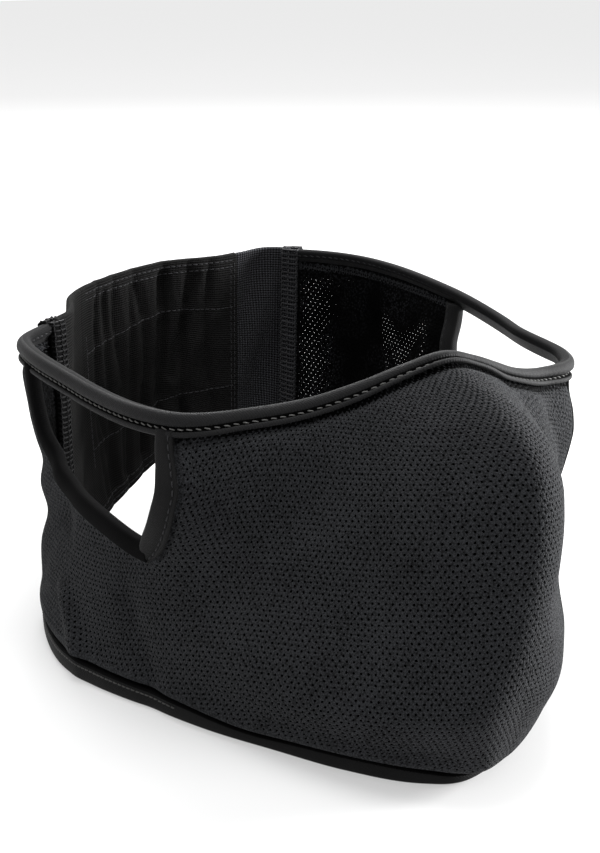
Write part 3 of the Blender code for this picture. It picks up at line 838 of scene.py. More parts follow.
def cell_faces(shared, holed, cupped, first):
    """Faces of all cells: whole without a hole, else a ring of six down to the rim, and the cups' faces.

    The points of the rims are numbered from first on, and those of the cups' middles follow.
    """
    outer = shared[holed]
    inner = first + np.arange(outer.size).reshape(-1, 6)
    after = np.roll(np.arange(6), -1)
    ring = np.stack([outer, outer[:, after], inner[:, after], inner], axis=-1).reshape(-1, 4)
    middle = np.repeat(first + outer.size + np.arange(len(cupped)), 6)
    cup = np.stack([inner[cupped].ravel(), inner[cupped][:, after].ravel(), middle], axis=-1)
    return [tuple(row) for part in (shared[~holed], ring, cup) for row in part.tolist()]


def perforated_cloth(name, material, facing, spans, hole_radius, cupped_spans=(), cup_depth=0.0):
    """One face of the mesh cloth: a six-sided cell round every pinhole, drawn in to the hole's rim.

    The holes within the cupped spans of angles are closed by a small cup.
    """
    along, height = hole_lattice(facing, spans)
    holed = takes_hole(along, height - row_fall(along), facing)
    corners, shared = cell_corners(along, height)
    along, height = along[holed], height[holed]
    turns = np.radians(np.arange(6) * 60.0 + 30.0)
    radius = hole_radius * RANDOM.uniform(*HOLE_UNEVEN, (len(along), 6))
    rim = pairs(along[:, None] + radius * np.cos(turns), height[:, None] + radius * np.sin(turns))
    rim = rim.reshape(-1, 2)
    cupped = np.flatnonzero(within(np.interp(along, FLAT_ALONG, FLAT_ANGLES), cupped_spans))
    middles = pairs(along[cupped], height[cupped])
    flats = np.concatenate([corners, rim, middles])
    sunk = np.repeat((0.0, HOLE_DEPTH, cup_depth), (len(corners), len(rim), len(middles)))
    flats[:, 0] = np.clip(flats[:, 0], 0.0, CLOTH_LENGTH)
    flats[:, 1] = np.maximum(flats[:, 1] - row_fall(flats[:, 0]), lowest_up(flats[:, 0], facing))
    angle, level = from_flat(flats[:, 0], flats[:, 1])
    sunk = sunk + rim_tuck(flats[:, 0], flats[:, 1]) + seam_dip(flats[:, 0])
    if facing > 0:
        points = puffed(angle, level, flats[:, 1], -sunk - tape_dip(angle, level))
    else:
        points = cloth(angle, level, sunk - MESH_THICKNESS)
    faces = cell_faces(shared, holed, cupped, len(corners))
    if facing > 0:
        edge_points, edge_faces, edge_flats = turned_hem()
        points, faces = join_parts([(points, faces), (edge_points, edge_faces)])
        flats = np.concatenate([flats, edge_flats])
    else:
        faces = [face[::-1] for face in faces]
    return add_piece(name, points, faces, material, flats, closed=False)


def both_halves(outer, inner):
    """Values round a whole section: along its outer half from the folded edge on, then back along its inner
    half.
    """
    return np.concatenate([outer, inner[..., ::-1]], axis=-1)


def closed_section(out, down, inside_share=1.0, inside_out=None):
    """Whole section of a folded tape from its outer half, whose inner half may be narrower."""
    out, down = np.asarray(out) * MM, np.asarray(down) * MM
    inner = out if inside_out is None else np.asarray(inside_out) * MM
    return both_halves(out, -inner), both_halves(down, down * inside_share)


def stations_along(ends, level):
    """The angles and distances at even steps along a line of one level, close enough for the puckers."""
    dense = np.linspace(ends[0], ends[1], 1201)
    lengths = lengths_along(plain_skin(dense, level))
    count = int(lengths[-1] / (STITCH_PITCH / 4))
    places = np.linspace(0.0, lengths[-1], count)
    return np.interp(places, lengths, dense), places


def band_ends():
    """Angles at which the bindings end beside the two seams."""
    ends = ((SEAM_RIGHT, BAND_CLEAR_OF_SEAM), (SEAM_LEFT, -BAND_CLEAR_OF_SEAM))
    return [float(turn_for(seam, 0.5, clear)) for seam, clear in ends]


def pucker(along, pitch):
    """Share that is 1 where a stitch dives into the tape and 0 halfway along it."""
    return 0.5 + 0.5 * np.cos(2 * math.pi * along / pitch)


def top_band(looks):
    """Folded tape along the upper edge, running on over both ears as straps, and its stitches."""
    angles, along = stations_along(band_ends(), 1.0)
    out, down = closed_section(TOP_SECTION["out"], TOP_SECTION["down"], TOP_INSIDE_SHARE,
                               TOP_SECTION["inside"])
    narrow = smooth_through(TOP_NARROWS["angle"], TOP_NARROWS["share"], angles)
    levels = level_for(angles[:, None], np.ones((len(angles), 1)), -down * narrow[:, None])
    near_stitch = bell(down - TOP_PUCKER_DOWN, TOP_PUCKER_BREADTH)
    near_edge = ease((down - TOP_EDGE_DOWN) / TOP_EDGE_BREADTH)
    waves = pucker(along, along[-1] / int(along[-1] / TOP_STITCH_PITCH))[:, None]
    breadth = 1.0 - 0.08 * waves * near_stitch - 0.06 * waves * near_edge
    slow = 1.0 + 0.03 * np.sin(along[:, None] / (11.0 * MM)) * np.sin(along[:, None] / (17.0 * MM) + 1.0)
    places = mesh_middle(angles[:, None], levels, out * breadth * slow)
    spots = pairs(along[:, None], down + out / 2)
    # The inner half takes a darker copy of the tape, painted shade inside the ring, and the groove a nearly
    # black one, painted deep shade
    band = sweep("top_binding_tape", places, looks["tape"], spots, looks["tape_inside"],
                 looks["fold"], TOP_SHADED_GROOVE_FACES)
    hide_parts("top_binding")

    # The stitches sink into their groove on the far side of the nose, deepest over the far ear's front
    hidden = (0.35 + 0.25 * ease((angles - 45.0) / 15.0)) * MM
    hidden = hidden * ease((angles + 14.0) / 12.0) * ease((146.0 - angles) / 60.0)
    sewn = []
    rows = (
        ("top_binding_stitches", 1.0, 1.0, TOP_STITCH_OUT, looks["thread"]),
        ("top_binding_bobbin", -1.0, TOP_INSIDE_SHARE, TOP_BOBBIN_OUT, looks["dark_thread"]),
    )
    for name, side, share, stitch_out, thread in rows:
        stitch_levels = level_for(angles, np.ones_like(angles), -share * narrow * TOP_STITCH_DOWN)
        line = mesh_middle(angles, stitch_levels, side * (stitch_out - hidden))
        outs = side * outward(angles, stitch_levels)
        row = stitch_row(line, outs, TOP_STITCH_PITCH, TOP_STITCH_LENGTH, TOP_THREAD_RADIUS, slant=0.25)
        sewn.append(add_stitches(name, [row], thread))
    return band, *sewn


def foot_band(looks):
    """Folded tape along the lower edge, flat underneath where the mask stands, and its stitches."""
    angles, along = stations_along(band_ends(), 0.0)
    middle, level_out = foot_middle(angles)
    out = np.asarray(FOOT_SECTION["out"]) * MM
    share = np.asarray(FOOT_SECTION["up"])
    height = hem("height", angles)
    outer_up = height[:, None] * share
    stitched = ease((height - FOOT_STITCHED + 0.6 * MM) / (0.8 * MM))[:, None]
    groove = bell(outer_up - height[:, None] + FOOT_STITCH_BELOW, 0.45 * MM)
    waves = pucker(along, FOOT_STITCH_PITCH)[:, None]
    outer_out = out * (1.0 - (0.07 + 0.06 * waves) * stitched * groove)
    inner_up = np.broadcast_to(FOOT_INSIDE * share, outer_up.shape)
    inner_out = np.broadcast_to(-out, outer_out.shape)
    up = both_halves(outer_up, inner_up)
    across = both_halves(outer_out, inner_out)
    base = np.stack([middle[:, 0], middle[:, 1], foot_height(angles)], axis=-1)
    places = base[:, None] + level_out[:, None] * across[..., None]
    places[..., 2] += up
    spots = pairs(along[:, None], up + across / 2)
    # The binding takes the darker copy of the tape, its inner half the copy painted in shade for inside the
    # ring, and its fold under the cloth's edge the nearly black one, painted shade of the crevice
    band = sweep("bottom_binding_tape", places, looks["dark_tape"], spots, looks["tape_inside"],
                 looks["fold"], FOOT_SHADED_FOLD_FACES)
    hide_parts("bottom_binding")
    rows = []
    for part in (angles < 0.0, angles > 0.0):
        kept = np.flatnonzero(part & (height > FOOT_STITCHED))
        line = base[kept] + level_out[kept] * FOOT_STITCH_OUT
        line[:, 2] += height[kept] - FOOT_STITCH_BELOW
        rows.append(stitch_row(line, level_out[kept], FOOT_STITCH_PITCH, *FOOT_OUTER_STITCH))
    line = base - level_out * FOOT_STITCH_OUT
    line[:, 2] += FOOT_INSIDE - FOOT_STITCH_BELOW
    rows.append(stitch_row(line, -level_out, FOOT_STITCH_PITCH, *FOOT_INNER_STITCH))
    return band, add_stitches("bottom_binding_stitches", rows, looks["middle_thread"])


def front_tape_places(side, shares_down, shares_across):
    """Angles and levels on the front ear tape at shares of its length and of its breadth."""
    top = float(level_for(side * EAR_FRONT, 1.0, -EAR_TAPE_TOP))
    last = np.interp(shares_across, EAR_TIP["share"], EAR_TIP["level"])
    levels = top + (last[None, :] - top) * shares_down[:, None]
    cloth_side = smooth_through(EAR_FRONT_REACH["level"], EAR_FRONT_REACH["across"], levels) * MM
    across = cloth_side + (EAR_FRONT_OPEN_SIDE - cloth_side) * shares_across
    return turn_for(np.full_like(levels, side * EAR_FRONT), levels, side * across), levels


def ear_front_tape(word, side, material, thread):
    """Tape down the front edge of an ear opening, with a pointed lower end over the corner."""
    name, node = f"ear_front_tape_{word}", f"ear_front_binding_{word}"
    out = np.asarray(EAR_FRONT_SECTION["out"]) * MM
    share = np.asarray(EAR_FRONT_SECTION["share"])
    places = front_tape_places(side, np.linspace(0.0, 1.0, 81), share)
    angles, levels = (both_halves(values, values) for values in places)
    out = both_halves(out, -out)
    share = both_halves(share, share)
    along = (levels.max() - levels[:, :1]) * MASK_HEIGHT
    near_stitch = bell(share - EAR_STITCH_SHARE, 0.08)
    breadth = 1.0 - 0.08 * pucker(along, STITCH_PITCH) * near_stitch
    places = mesh_middle(angles, levels, out * breadth)
    tape = sweep(name, places, material, pairs(along, share * 9.0 * MM + out / 2))
    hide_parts(node)
    sewn = front_tape_places(side, np.linspace(0.02, 0.97, 60), np.array([EAR_STITCH_SHARE]))
    line_angles, line_levels = (values[:, 0] for values in sewn)
    rows = []
    for facing in (1.0, -1.0):
        line = mesh_middle(line_angles, line_levels, facing * EAR_STITCH_OUT)
        outs = facing * outward(line_angles, line_levels)
        rows.append(stitch_row(line, outs, EAR_STITCH_PITCH, 1.7 * MM))
    return tape, add_stitches(name + "_stitches", rows, thread)


def ear_rear_tape(word, side, material, thread):
    """Tape along the lower edge of an ear opening and up its rear edge."""
    name, node = f"ear_rear_tape_{word}", f"ear_rear_binding_{word}"
    out, across = closed_section(EAR_REAR_SECTION["out"], EAR_REAR_SECTION["across"])
    dense = np.linspace(EAR_FRONT + 1.6, EAR_REAR, 200)
    edge = ear_edge_level(dense)
    top = float(level_for(side * EAR_REAR, 1.0, -EAR_TAPE_TOP))
    rise = np.linspace(edge[-1], top, 30)[1:]
    angles = side * np.concatenate([dense, np.full_like(rise, EAR_REAR)])
    levels = np.concatenate([edge, rise])
    lengths = lengths_along(cloth(angles, levels))
    places = np.linspace(0.0, lengths[-1], 141)
    angles = np.interp(places, lengths, angles)
    levels = np.interp(places, lengths, levels)
    line = steadied(cloth(angles, levels), 7)
    normal = unit(steadied(outward(angles, levels), 7))
    along = unit(np.gradient(line, axis=0))
    open_side = unit(np.cross(along, normal)) * -side
    middle = line - normal * MESH_THICKNESS / 2
    points = middle[:, None] + open_side[:, None] * across[None, :, None]
    points = points + normal[:, None] * out[None, :, None]
    tape = sweep(name, points, material, pairs(places[:, None], across + out / 2))
    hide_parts(node)
    stitch_line = middle + open_side * EAR_REAR_STITCH_ACROSS - normal * EAR_REAR_STITCH_OUT
    row = stitch_row(stitch_line, -normal, EAR_STITCH_PITCH, 1.8 * MM)
    return tape, add_stitches(name + "_stitches", [row], thread)


def slab(name, angles, levels, reliefs, thickness, material, spots):
    """Closed cloth of a given thickness over a grid of places, with rounded edges."""
    outer = cloth(angles, levels, reliefs[0])
    inner = cloth(angles, levels, reliefs[1] - thickness)
    rows, columns = angles.shape
    count = rows * columns
    index = np.arange(count).reshape(rows, columns)
    faces = grid_faces(index) + [(low, right, far, up) for low, up, far, right in grid_faces(index + count)]
    rim = np.concatenate([index[0, :-1], index[:-1, -1], index[-1, :0:-1], index[:0:-1, 0]])
    inside = np.concatenate([index[1, :-1], index[:-1, -2], index[-2, :0:-1], index[:0:-1, 1]])
    flat_outer, flat_inner = outer.reshape(-1, 3), inner.reshape(-1, 3)
    away = unit(flat_outer[rim] - flat_outer[inside])
    middle = (flat_outer[rim] + flat_inner[rim]) / 2 + away * thickness * 0.4
    ring = 2 * count + np.arange(len(rim))
    after = np.roll(ring, -1)
    rim_after = np.roll(rim, -1)
    faces.extend(zip(rim.tolist(), rim_after.tolist(), after.tolist(), ring.tolist()))
    faces.extend(zip(ring.tolist(), after.tolist(), (rim_after + count).tolist(), (rim + count).tolist()))
    points = np.concatenate([flat_outer, flat_inner, middle])
    flat = spots.reshape(-1, 2)
    return add_piece(name, points, faces, material, np.concatenate([flat, flat, flat[rim]]))


def panel_places(borders, clearances, columns, rows):
    """Angles and levels over a back piece between two borders, the share of the way across, and its width."""
    levels = np.linspace(0.0, 1.0, rows)
    start, end = (turn_for(border, levels, clear) for border, clear in zip(borders, clearances))
    shares = np.linspace(0.0, 1.0, columns)[:, None]
    angles = start + (end - start) * shares
    width = float(np.linalg.norm(plain_skin(borders[0], 0.5) - plain_skin(borders[1], 0.5)))
    return angles, np.broadcast_to(levels, angles.shape), shares, width


def ribbed_places(borders, clearances, columns):
    """Places over a ribbed piece, with its share across, width, height up and ribs."""
    rows = int(RIBBED_HEIGHT / (RIB_PITCH / 3))
    angles, levels, shares, width = panel_places(borders, clearances, columns, rows)
    up = levels * RIBBED_HEIGHT
    return angles, levels, shares, width, up, RIB_HEIGHT * np.abs(np.cos(math.pi * up / RIB_PITCH))


def back_panel_left(material):
    """Plain knitted piece between the far seam and the gathered casing."""
    borders = (SEAM_LEFT, CASING_LEFT)
    angles, levels, shares, width = panel_places(borders, (0.15 * MM, -0.15 * MM), 41, 81)
    along = width * shares
    relief = 1.5 * MM * np.sin(12.0 * levels + 5.0 * shares) * np.sin(math.pi * shares) - valley(along)
    panel = slab("back_cloth_left", angles, levels, (relief, relief), BACK_THICKNESS, material,
                 pairs(along, levels * MASK_HEIGHT))
    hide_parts("back_panel_left")
    return panel


def back_panel_right(material):
    """Piece between the gathered casing and the near seam, ribbed and as thick as the casing."""
    borders = (CASING_RIGHT, SEAM_RIGHT + 360.0)
    angles, levels, shares, width, up, ribs = ribbed_places(borders, (0.02 * MM, -0.15 * MM), 41)
    along = width * shares
    relief = 0.6 * MM * np.sin(7.0 * levels + 5.0 * shares) * np.sin(math.pi * shares) - valley(width - along)
    reliefs = (relief + ribs, relief - ribs)
    panel = slab("back_cloth_right", angles, levels, reliefs, CASING_THICKNESS, material,
                 pairs(along, up))
    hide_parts("back_panel_right")
    return panel


def row_level(row, angle):
    """Level of one row of stitching across the casing."""
    way = (angle - CASING_LEFT) / (CASING_RIGHT - CASING_LEFT)
    sag = CASING_ROWS["sag"][row] * ease(np.minimum(way / 0.45, (1.12 - way) / 0.67))
    return CASING_ROWS["left"][row] + (CASING_ROWS["right"][row] - CASING_ROWS["left"][row]) * way - sag


def casing_relief(angles, levels):
    """Folds of the gathered casing, drawn flat along its borders, edges and rows of stitching."""
    way = (angles - CASING_LEFT) / (CASING_RIGHT - CASING_LEFT)
    calm = ease((way - 0.045) / 0.08) * ease((0.955 - way) / 0.08)
    for row in range(len(CASING_ROWS["left"])):
        calm = calm * (0.62 + 0.38 * ease(np.abs(levels - row_level(row, angles)) / 0.05))
    for off_edge in (levels, 1.0 - levels):
        calm = calm * (0.30 + 0.70 * ease(off_edge / 0.10))
    folds = fold_height(CASING_CREASES, angles, levels, MM, MM)
    wander = 0.22 * np.sin(5.0 * levels + 9.0 * way)
    lobes = np.abs(np.sin(math.pi * (7 * way + wander)))
    soft = GATHER_DEPTH * (0.95 * (1.0 - lobes) ** 1.5 - 0.20)
    fine = 0.08 * MM * np.sin(2 * math.pi * (23 * way + 0.8 * np.sin(4.0 * levels)))
    return (folds + soft + fine) * calm


def casing_seams():
    """Angles and levels of the lines that are sewn on the casing."""
    across = np.linspace(CASING_LEFT + 1.2, CASING_RIGHT - 1.8, 160)
    for row in range(len(CASING_ROWS["left"])):
        yield across, row_level(row, across)
    upright = np.linspace(0.03, 0.97, 120)
    for border in (CASING_LEFT + 0.9, CASING_LEFT + 1.9):
        yield np.full_like(upright, border), upright
    partial = np.linspace(float(row_level(1, CASING_RIGHT - 1.8)) - 0.08, 0.80, 60)
    yield np.full_like(partial, CASING_RIGHT - 1.8), partial
    for rise in (1.6 * MM, 4.0 * MM):
        yield across, level_for(across, np.zeros_like(across), rise)
        yield across, level_for(across, np.ones_like(across), -rise)


def gathered_casing(material, thread):
    """Elastic casing with upright gathers and fine ribs, with its rows of stitching."""
    borders = (CASING_LEFT, CASING_RIGHT)
    angles, levels, shares, width, up, ribs = ribbed_places(borders, (0.15 * MM, -0.02 * MM), 105)
    relief = casing_relief(angles, levels)
    reliefs = (relief + ribs, relief - ribs)
    casing = slab("gathered_casing", angles, levels, reliefs, CASING_THICKNESS, material,
                  pairs(width * shares, up))
    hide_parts("gathered_panel")
    rows = []
    for line_angles, line_levels in casing_seams():
        height = casing_relief(line_angles, line_levels)
        normal = outward(line_angles, line_levels)
        for facing, lift in ((1.0, RIB_HEIGHT), (-1.0, -CASING_THICKNESS - RIB_HEIGHT)):
            line = cloth(line_angles, line_levels, height + lift)
            rows.append(stitch_row(line, facing * normal, *CASING_STITCH))
    return casing, add_stitches("casing_stitches", rows, thread)


def overlock_seam(word, seam, material, thread):
    """Thick overlocked seam inside the ring, turned over the upper edge, with its threads."""
    name, node = f"overlock_{word}", f"overlock_seam_{word}"
    across = np.asarray(SEAM_SECTION["across"]) * MM
    rise = np.asarray(SEAM_SECTION["rise"]) * MM
    heights = np.repeat(np.linspace(0.02, 1.0, 60)[:, None], len(across), axis=1)
    angles = turn_for(seam, heights, across)
    wave = 1.0 + 0.10 * np.sin(2 * math.pi * heights * MASK_HEIGHT / (6.8 * MM))
    face = cloth(angles, heights, -MESH_THICKNESS - 0.1 * MM - rise * wave)
    normal = outward(angles, heights)
    up = np.array([0.0, 0.0, 1.0])
    grid = [face]
    outs = [-normal]
    for out, lift, tilt in zip(SEAM_HOOK["out"], SEAM_HOOK["lift"], SEAM_HOOK["tilt"]):
        grid.append(cloth(angles[-1:], heights[-1:], out * MM) + up * lift * MM)
        outs.append(normal[-1:] * math.sin(math.radians(tilt)) + up * math.cos(math.radians(tilt)))
    top_face = np.concatenate(grid)
    outs = unit(np.concatenate(outs))
    back = top_face - outs * SEAM_THICKNESS
    section = np.concatenate([top_face, back[:, ::-1]], axis=1)
    middle = len(across) // 2
    lengths = lengths_along(top_face[:, middle])
    strip = sweep(name, section, material, pairs(lengths[:, None], np.tile(across, 2)))
    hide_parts(node)

    places = (np.arange(int(lengths[-1] / SEAM_THREAD_PITCH)) + 0.5) * SEAM_THREAD_PITCH
    columns = range(len(across))
    rungs = np.stack([at_lengths(top_face[:, column], lengths, places) for column in columns], axis=1)
    rung_outs = unit(np.stack([at_lengths(outs[:, column], lengths, places) for column in columns], axis=1))
    along = unit(np.gradient(rungs[:, middle], axis=0))[:, None]
    share = np.linspace(-0.5, 0.5, len(across))[None, :, None]
    rungs = rungs + along * share * 0.9 * MM + rung_outs * 0.12 * MM
    rows = [tubes(rungs, rung_outs, 0.30 * MM)]
    for column, slant in zip(SEAM_THREAD_ROWS["column"], SEAM_THREAD_ROWS["slant"]):
        line = top_face[:, column] + outs[:, column] * 0.25 * MM
        rows.append(stitch_row(line, outs[:, column], SEAM_THREAD_PITCH, 1.5 * MM, 0.28 * MM, slant=slant))
    return strip, add_stitches(name + "_threads", rows, thread)


def math_node(tree, operation, *values, clamp=False):
    """Math node fed by values or sockets."""
    node = tree.nodes.new("ShaderNodeMath")
    node.operation = operation
    node.use_clamp = clamp
    for socket, value in zip(node.inputs, values):
        if isinstance(value, (int, float)):
            socket.default_value = value
        else:
            tree.links.new(value, socket)
    return node.outputs[0]


def millimetre_places(tree):
    """Object coordinates in millimetres."""
    places = tree.nodes.new("ShaderNodeTexCoord")
    scale = tree.nodes.new("ShaderNodeVectorMath")
    scale.operation = "SCALE"
    scale.inputs["Scale"].default_value = 1.0 / MM
    tree.links.new(places.outputs["Object"], scale.inputs[0])
    return scale.outputs[0]


def flat_places(tree):
    """Distances along and up the cloth, in millimetres."""
    places = tree.nodes.new("ShaderNodeUVMap")
    places.uv_map = "cloth"
    split = tree.nodes.new("ShaderNodeSeparateXYZ")
    tree.links.new(places.outputs["UV"], split.inputs[0])
    return split.outputs["X"], split.outputs["Y"]


def noise(tree, places, size, detail=3.0):
    """Noise whose features are about the given size in millimetres."""
    node = tree.nodes.new("ShaderNodeTexNoise")
    node.inputs["Scale"].default_value = 1.0 / size
    node.inputs["Detail"].default_value = detail
    tree.links.new(places, node.inputs["Vector"])
    return node.outputs["Fac"]


def pebbles(tree, places, size):
    """Rounded grains of the given size in millimetres, 1 at their middles."""
    node = tree.nodes.new("ShaderNodeTexVoronoi")
    node.inputs["Scale"].default_value = 1.0 / size
    tree.links.new(places, node.inputs["Vector"])
    return math_node(tree, "SUBTRACT", 1.0, node.outputs["Distance"])


def wave(tree, distance, pitch):
    """Wave between -1 and 1 along a distance, both in millimetres."""
    return math_node(tree, "SINE", math_node(tree, "MULTIPLY", distance, 2 * math.pi / pitch))


def cloth_material(name, roughness, sheen=0.03, gloss=0.10):
    """Principled material with the values that every cloth here starts from, and its node tree."""
    material = bpy.data.materials.new(name)
    material.use_nodes = True
    shader = material.node_tree.nodes["Principled BSDF"]
    shader.inputs["Roughness"].default_value = roughness
    shader.inputs["Specular IOR Level"].default_value = gloss
    shader.inputs["Sheen Weight"].default_value = sheen
    shader.inputs["Sheen Roughness"].default_value = 0.40
    return material, material.node_tree


def tint(tree, colour, share, low, high):
    """Base colour that runs from low to high times the colour as share goes from 0 to 1."""
    ramp = tree.nodes.new("ShaderNodeValToRGB")
    for element, factor in zip(ramp.color_ramp.elements, (low, high)):
        element.color = (*(part * factor for part in colour), 1.0)
    tree.links.new(share, ramp.inputs["Fac"])
    tree.links.new(ramp.outputs["Color"], tree.nodes["Principled BSDF"].inputs["Base Color"])


def bump(tree, height, depth):
    """Relief of the given depth in metres from a height between 0 and 1."""
    node = tree.nodes.new("ShaderNodeBump")
    node.inputs["Strength"].default_value = 1.0
    node.inputs["Distance"].default_value = depth
    tree.links.new(height, node.inputs["Height"])
    tree.links.new(node.outputs["Normal"], tree.nodes["Principled BSDF"].inputs["Normal"])


def mesh_cloth_material(colour, contrast):
    """Pebbly perforated knit whose colour follows the grains' height: painted shade in the hollows, painted
    highlight on the grains, and small random differences of tone.
    """
    material, tree = cloth_material("charcoal_mesh", 0.80, 0.04)
    places = millimetre_places(tree)
    height = math_node(tree, "MULTIPLY_ADD", noise(tree, places, 0.35, 2.0), 0.5, pebbles(tree, places, 0.62))
    share = math_node(tree, "MULTIPLY_ADD", height, contrast, 0.35 - 0.95 * contrast)
    share = math_node(tree, "MULTIPLY_ADD", noise(tree, places, 14.0), 0.3, share)
    tint(tree, colour, share, 0.10, 2.15)
    bump(tree, height, 0.42 * MM)
    return material


def mesh_inside_material(colour):
    """Inner face of the mesh cloth: a far darker copy of the mesh's colour, painted shade inside the ring,
    with painted highlights on its grains in soft patches.
    """
    material, tree = cloth_material("charcoal_mesh_inside_shade", 0.85, 0.0, 0.03)
    places = millimetre_places(tree)
    grain = pebbles(tree, places, 0.95)
    highlight_patch = math_node(tree, "MULTIPLY_ADD", noise(tree, places, 16.0, 2.0), 5.0, -2.1, clamp=True)
    share = math_node(tree, "MULTIPLY_ADD", grain, 2.2, -0.95, clamp=True)
    tint(tree, colour, math_node(tree, "MULTIPLY", share, highlight_patch), 0.10, 3.4)
    bump(tree, grain, 0.35 * MM)
    return material


def tape_material(name, colour, roughness, sheen=0.03, gloss=0.10):
    """Smooth knitted tape with very fine ribs across it."""
    material, tree = cloth_material(name, roughness, sheen, gloss)
    along, up = flat_places(tree)
    places = millimetre_places(tree)
    weave = math_node(tree, "MULTIPLY", wave(tree, along, 0.8), wave(tree, up, 0.8))
    weave = math_node(tree, "MULTIPLY_ADD", weave, 0.25, 0.5)
    height = math_node(tree, "ADD", weave, noise(tree, places, 0.4))
    # Colour follows the weave's height: painted shade in its hollows and painted highlight on its ribs, with
    # random tone from the noise
    share = math_node(tree, "MULTIPLY_ADD", height, 0.65, -0.30)
    share = math_node(tree, "MULTIPLY_ADD", noise(tree, places, 9.0), 0.35, share)
    tint(tree, colour, share, 0.35, 1.75)
    bump(tree, height, 0.16 * MM)
    return material


def ribbed_material(colour):
    """Ribbed elastic knit with fine ribs along the casing."""
    material, tree = cloth_material("black_ribbed_knit", 0.80, 0.008, 0.05)
    along, up = flat_places(tree)
    height = math_node(tree, "MULTIPLY_ADD", wave(tree, along, 0.6), 0.25, wave(tree, up, 0.9))
    height = math_node(tree, "ADD", height, noise(tree, millimetre_places(tree), 0.5))
    # Colour follows the ribs' height: painted shade in the hollows and painted highlight on the ribs, with
    # random tone from the noise
    tint(tree, colour, math_node(tree, "MULTIPLY_ADD", height, 0.34, 0.33), 0.20, 2.1)
    bump(tree, height, 0.20 * MM)
    return material


def diagonal_knit_material(colour):
    """Plain knit of the back with a fine diagonal weave."""
    material, tree = cloth_material("black_knit", 0.78, 0.02)
    along, up = flat_places(tree)
    rising = wave(tree, math_node(tree, "ADD", along, up), 2.2)
    falling = wave(tree, math_node(tree, "SUBTRACT", along, up), 2.2)
    weave = math_node(tree, "MULTIPLY", rising, falling)
    grain = noise(tree, millimetre_places(tree), 0.5, 2.0)
    height = math_node(tree, "MULTIPLY_ADD", grain, 0.5, weave)
    # Colour follows the weave's height: painted shade in the hollows and painted highlight on the ridges,
    # with random tone from the grain
    tint(tree, colour, math_node(tree, "MULTIPLY_ADD", height, 0.72, 0.20), 0.10, 2.6)
    bump(tree, height, 0.45 * MM)
    return material


def thread_material(name, colour):
    """Twisted polyester thread."""
    material, tree = cloth_material(name, 0.55)
    fine = noise(tree, millimetre_places(tree), 0.25, 2.0)
    tint(tree, colour, fine, 0.6, 1.35)
    bump(tree, fine, 0.05 * MM)
    return material


def make_looks():
    """All the materials by their use."""
    return {
        "mesh": mesh_cloth_material((0.0205, 0.0214, 0.0237), 0.74),
        # Inner face: far darker copy of the mesh, painted shade inside the ring, with painted highlights
        "mesh_inside": mesh_inside_material((0.0036, 0.0037, 0.0041)),
        "tape": tape_material("grey_tape", (0.0100, 0.0100, 0.0105), 0.62),
        # Darker copy of the tape for the inner halves of the bindings: painted shade inside the ring
        "tape_inside": tape_material("grey_tape_inside_shade", (0.0075, 0.0075, 0.0079), 0.75, 0.01, 0.06),
        # Nearly black copy of the tape: painted deep shade in grooves and crevices and on the near ear's rear
        # tape and the near seam
        "fold": tape_material("grey_tape_folded", (0.0030, 0.0030, 0.0031), 0.85, 0.0, 0.03),
        # Darker copy of the tape: painted shade on the ear tapes turned from the light and on the lower
        # binding by the floor
        "dark_tape": tape_material("black_tape", (0.0060, 0.0060, 0.0062), 0.68),
        "ribbed": ribbed_material((0.0068, 0.0067, 0.0066)),
        "knit": diagonal_knit_material((0.0175, 0.0179, 0.0200)),
        "thread": thread_material("grey_thread", (0.14, 0.14, 0.135)),
        "dark_thread": thread_material("dark_thread", (0.030, 0.030, 0.032)),
        "middle_thread": thread_material("middle_thread", (0.075, 0.075, 0.073)),
        "shaded_thread": thread_material("shaded_thread", (0.0065, 0.0065, 0.0070)),
    }


def add_floor():
    """Pale floor under the mask."""
    bpy.ops.mesh.primitive_plane_add(size=6.0, location=(0.0, 0.0, -0.3 * MM))
    floor = bpy.context.object
    floor.name = "floor"
    material = bpy.data.materials.new("floor_white")
    material.use_nodes = True
    shader = material.node_tree.nodes["Principled BSDF"]
    shader.inputs["Base Color"].default_value = (0.47, 0.47, 0.47, 1.0)
    shader.inputs["Roughness"].default_value = 0.9
    shader.inputs["Specular IOR Level"].default_value = 0.0
    shader.inputs["Emission Color"].default_value = (1.0, 1.0, 1.0, 1.0)
    shader.inputs["Emission Strength"].default_value = 0.41
    floor.data.materials.append(material)


def add_lights():
    """Bright surroundings, a little brighter on the wearer's left, and three soft lamps."""
    world = bpy.data.worlds.new("studio")
    world.use_nodes = True
    tree = world.node_tree
    background = tree.nodes["Background"]
    background.inputs["Color"].default_value = (1.0, 1.0, 1.0, 1.0)
    direction = tree.nodes.new("ShaderNodeTexCoord")
    split = tree.nodes.new("ShaderNodeSeparateXYZ")
    tree.links.new(direction.outputs["Generated"], split.inputs[0])
    strength = math_node(tree, "MULTIPLY_ADD", split.outputs["X"], 0.40, 0.88)
    tree.links.new(strength, background.inputs["Strength"])
    bpy.context.scene.world = world
    for name, (place, size, power) in LAMPS.items():
        light = bpy.data.lights.new(name, "AREA")
        light.shape = "DISK"
        light.size = size
        light.energy = power
        lamp = bpy.data.objects.new(name, light)
        lamp.location = place
        lamp.rotation_euler = (Vector(LAMP_AIM) - Vector(place)).to_track_quat("-Z", "Y").to_euler()
        bpy.context.scene.collection.objects.link(lamp)


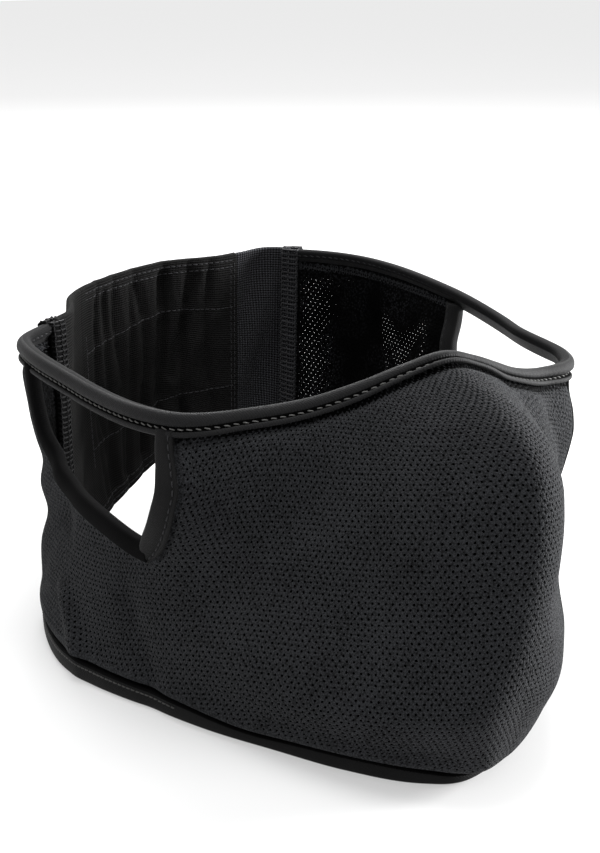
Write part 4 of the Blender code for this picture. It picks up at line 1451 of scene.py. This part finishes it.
def add_camera():
    """Camera at the photograph's angle."""
    camera = bpy.data.objects.new("camera", bpy.data.cameras.new("camera"))
    azimuth, elevation = math.radians(CAMERA_AZIMUTH), math.radians(CAMERA_ELEVATION)
    level = math.cos(elevation)
    back = Vector((math.sin(azimuth) * level, -math.cos(azimuth) * level, math.sin(elevation)))
    camera.location = CAMERA_PLACE
    camera.rotation_mode = "QUATERNION"
    camera.rotation_quaternion = (-back).to_track_quat("-Z", "Y")
    camera.data.lens = CAMERA_LENS
    camera.data.sensor_width = 36.0
    bpy.context.scene.collection.objects.link(camera)
    bpy.context.scene.camera = camera
    bpy.context.scene.view_settings.view_transform = "Standard"


def mesh_sheets(looks):
    """The mesh cloth's outer face, its inner face behind the far ear, and the lining over the rest."""
    whole = ((SEAM_RIGHT, SEAM_LEFT + 1.0),)
    behind = ((LINING_END, SEAM_LEFT + 1.0),)
    rest = ((SEAM_RIGHT, LINING_END),)
    outer = perforated_cloth("mesh_cloth_outer", looks["mesh"], 1.0, whole, HOLE_RADIUS, GRAZED, CUP_DEPTH)
    inner = perforated_cloth("mesh_cloth_inner", looks["mesh_inside"], -1.0, behind, INNER_HOLE_RADIUS)
    lining = perforated_cloth("mesh_cloth_lining", looks["mesh_inside"], -1.0, rest, LINING_HOLE_RADIUS, rest,
                              LINING_CUP_DEPTH)
    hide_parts("front_panel")
    return outer, inner, lining


def dress_mask():
    """Make every piece of the mask."""
    looks = make_looks()
    outer, inner, lining = mesh_sheets(looks)
    trims = [*top_band(looks), *foot_band(looks)]
    # Darker copies of the tape paint the shade on the near ear's tapes and on the far ear's rear tape, the
    # deepest on the near rear tape
    for word, side, front, rear in (("left", 1, "tape", "dark_tape"), ("right", -1, "dark_tape", "fold")):
        trims.extend(ear_front_tape(word, side, looks[front], looks["dark_thread"]))
        trims.extend(ear_rear_tape(word, side, looks[rear], looks["dark_thread"]))
    trims.extend(overlock_seam("left", SEAM_LEFT, looks["knit"], looks["dark_thread"]))
    # The near seam is painted in deep shade with the nearly black tape copy, and its threads in shade
    trims.extend(overlock_seam("right", SEAM_RIGHT, looks["fold"], looks["shaded_thread"]))
    left = back_panel_left(looks["knit"])
    right = back_panel_right(looks["ribbed"])
    casing, casing_stitches = gathered_casing(looks["ribbed"], looks["dark_thread"])


dress_mask()
add_floor()
add_lights()
add_camera()
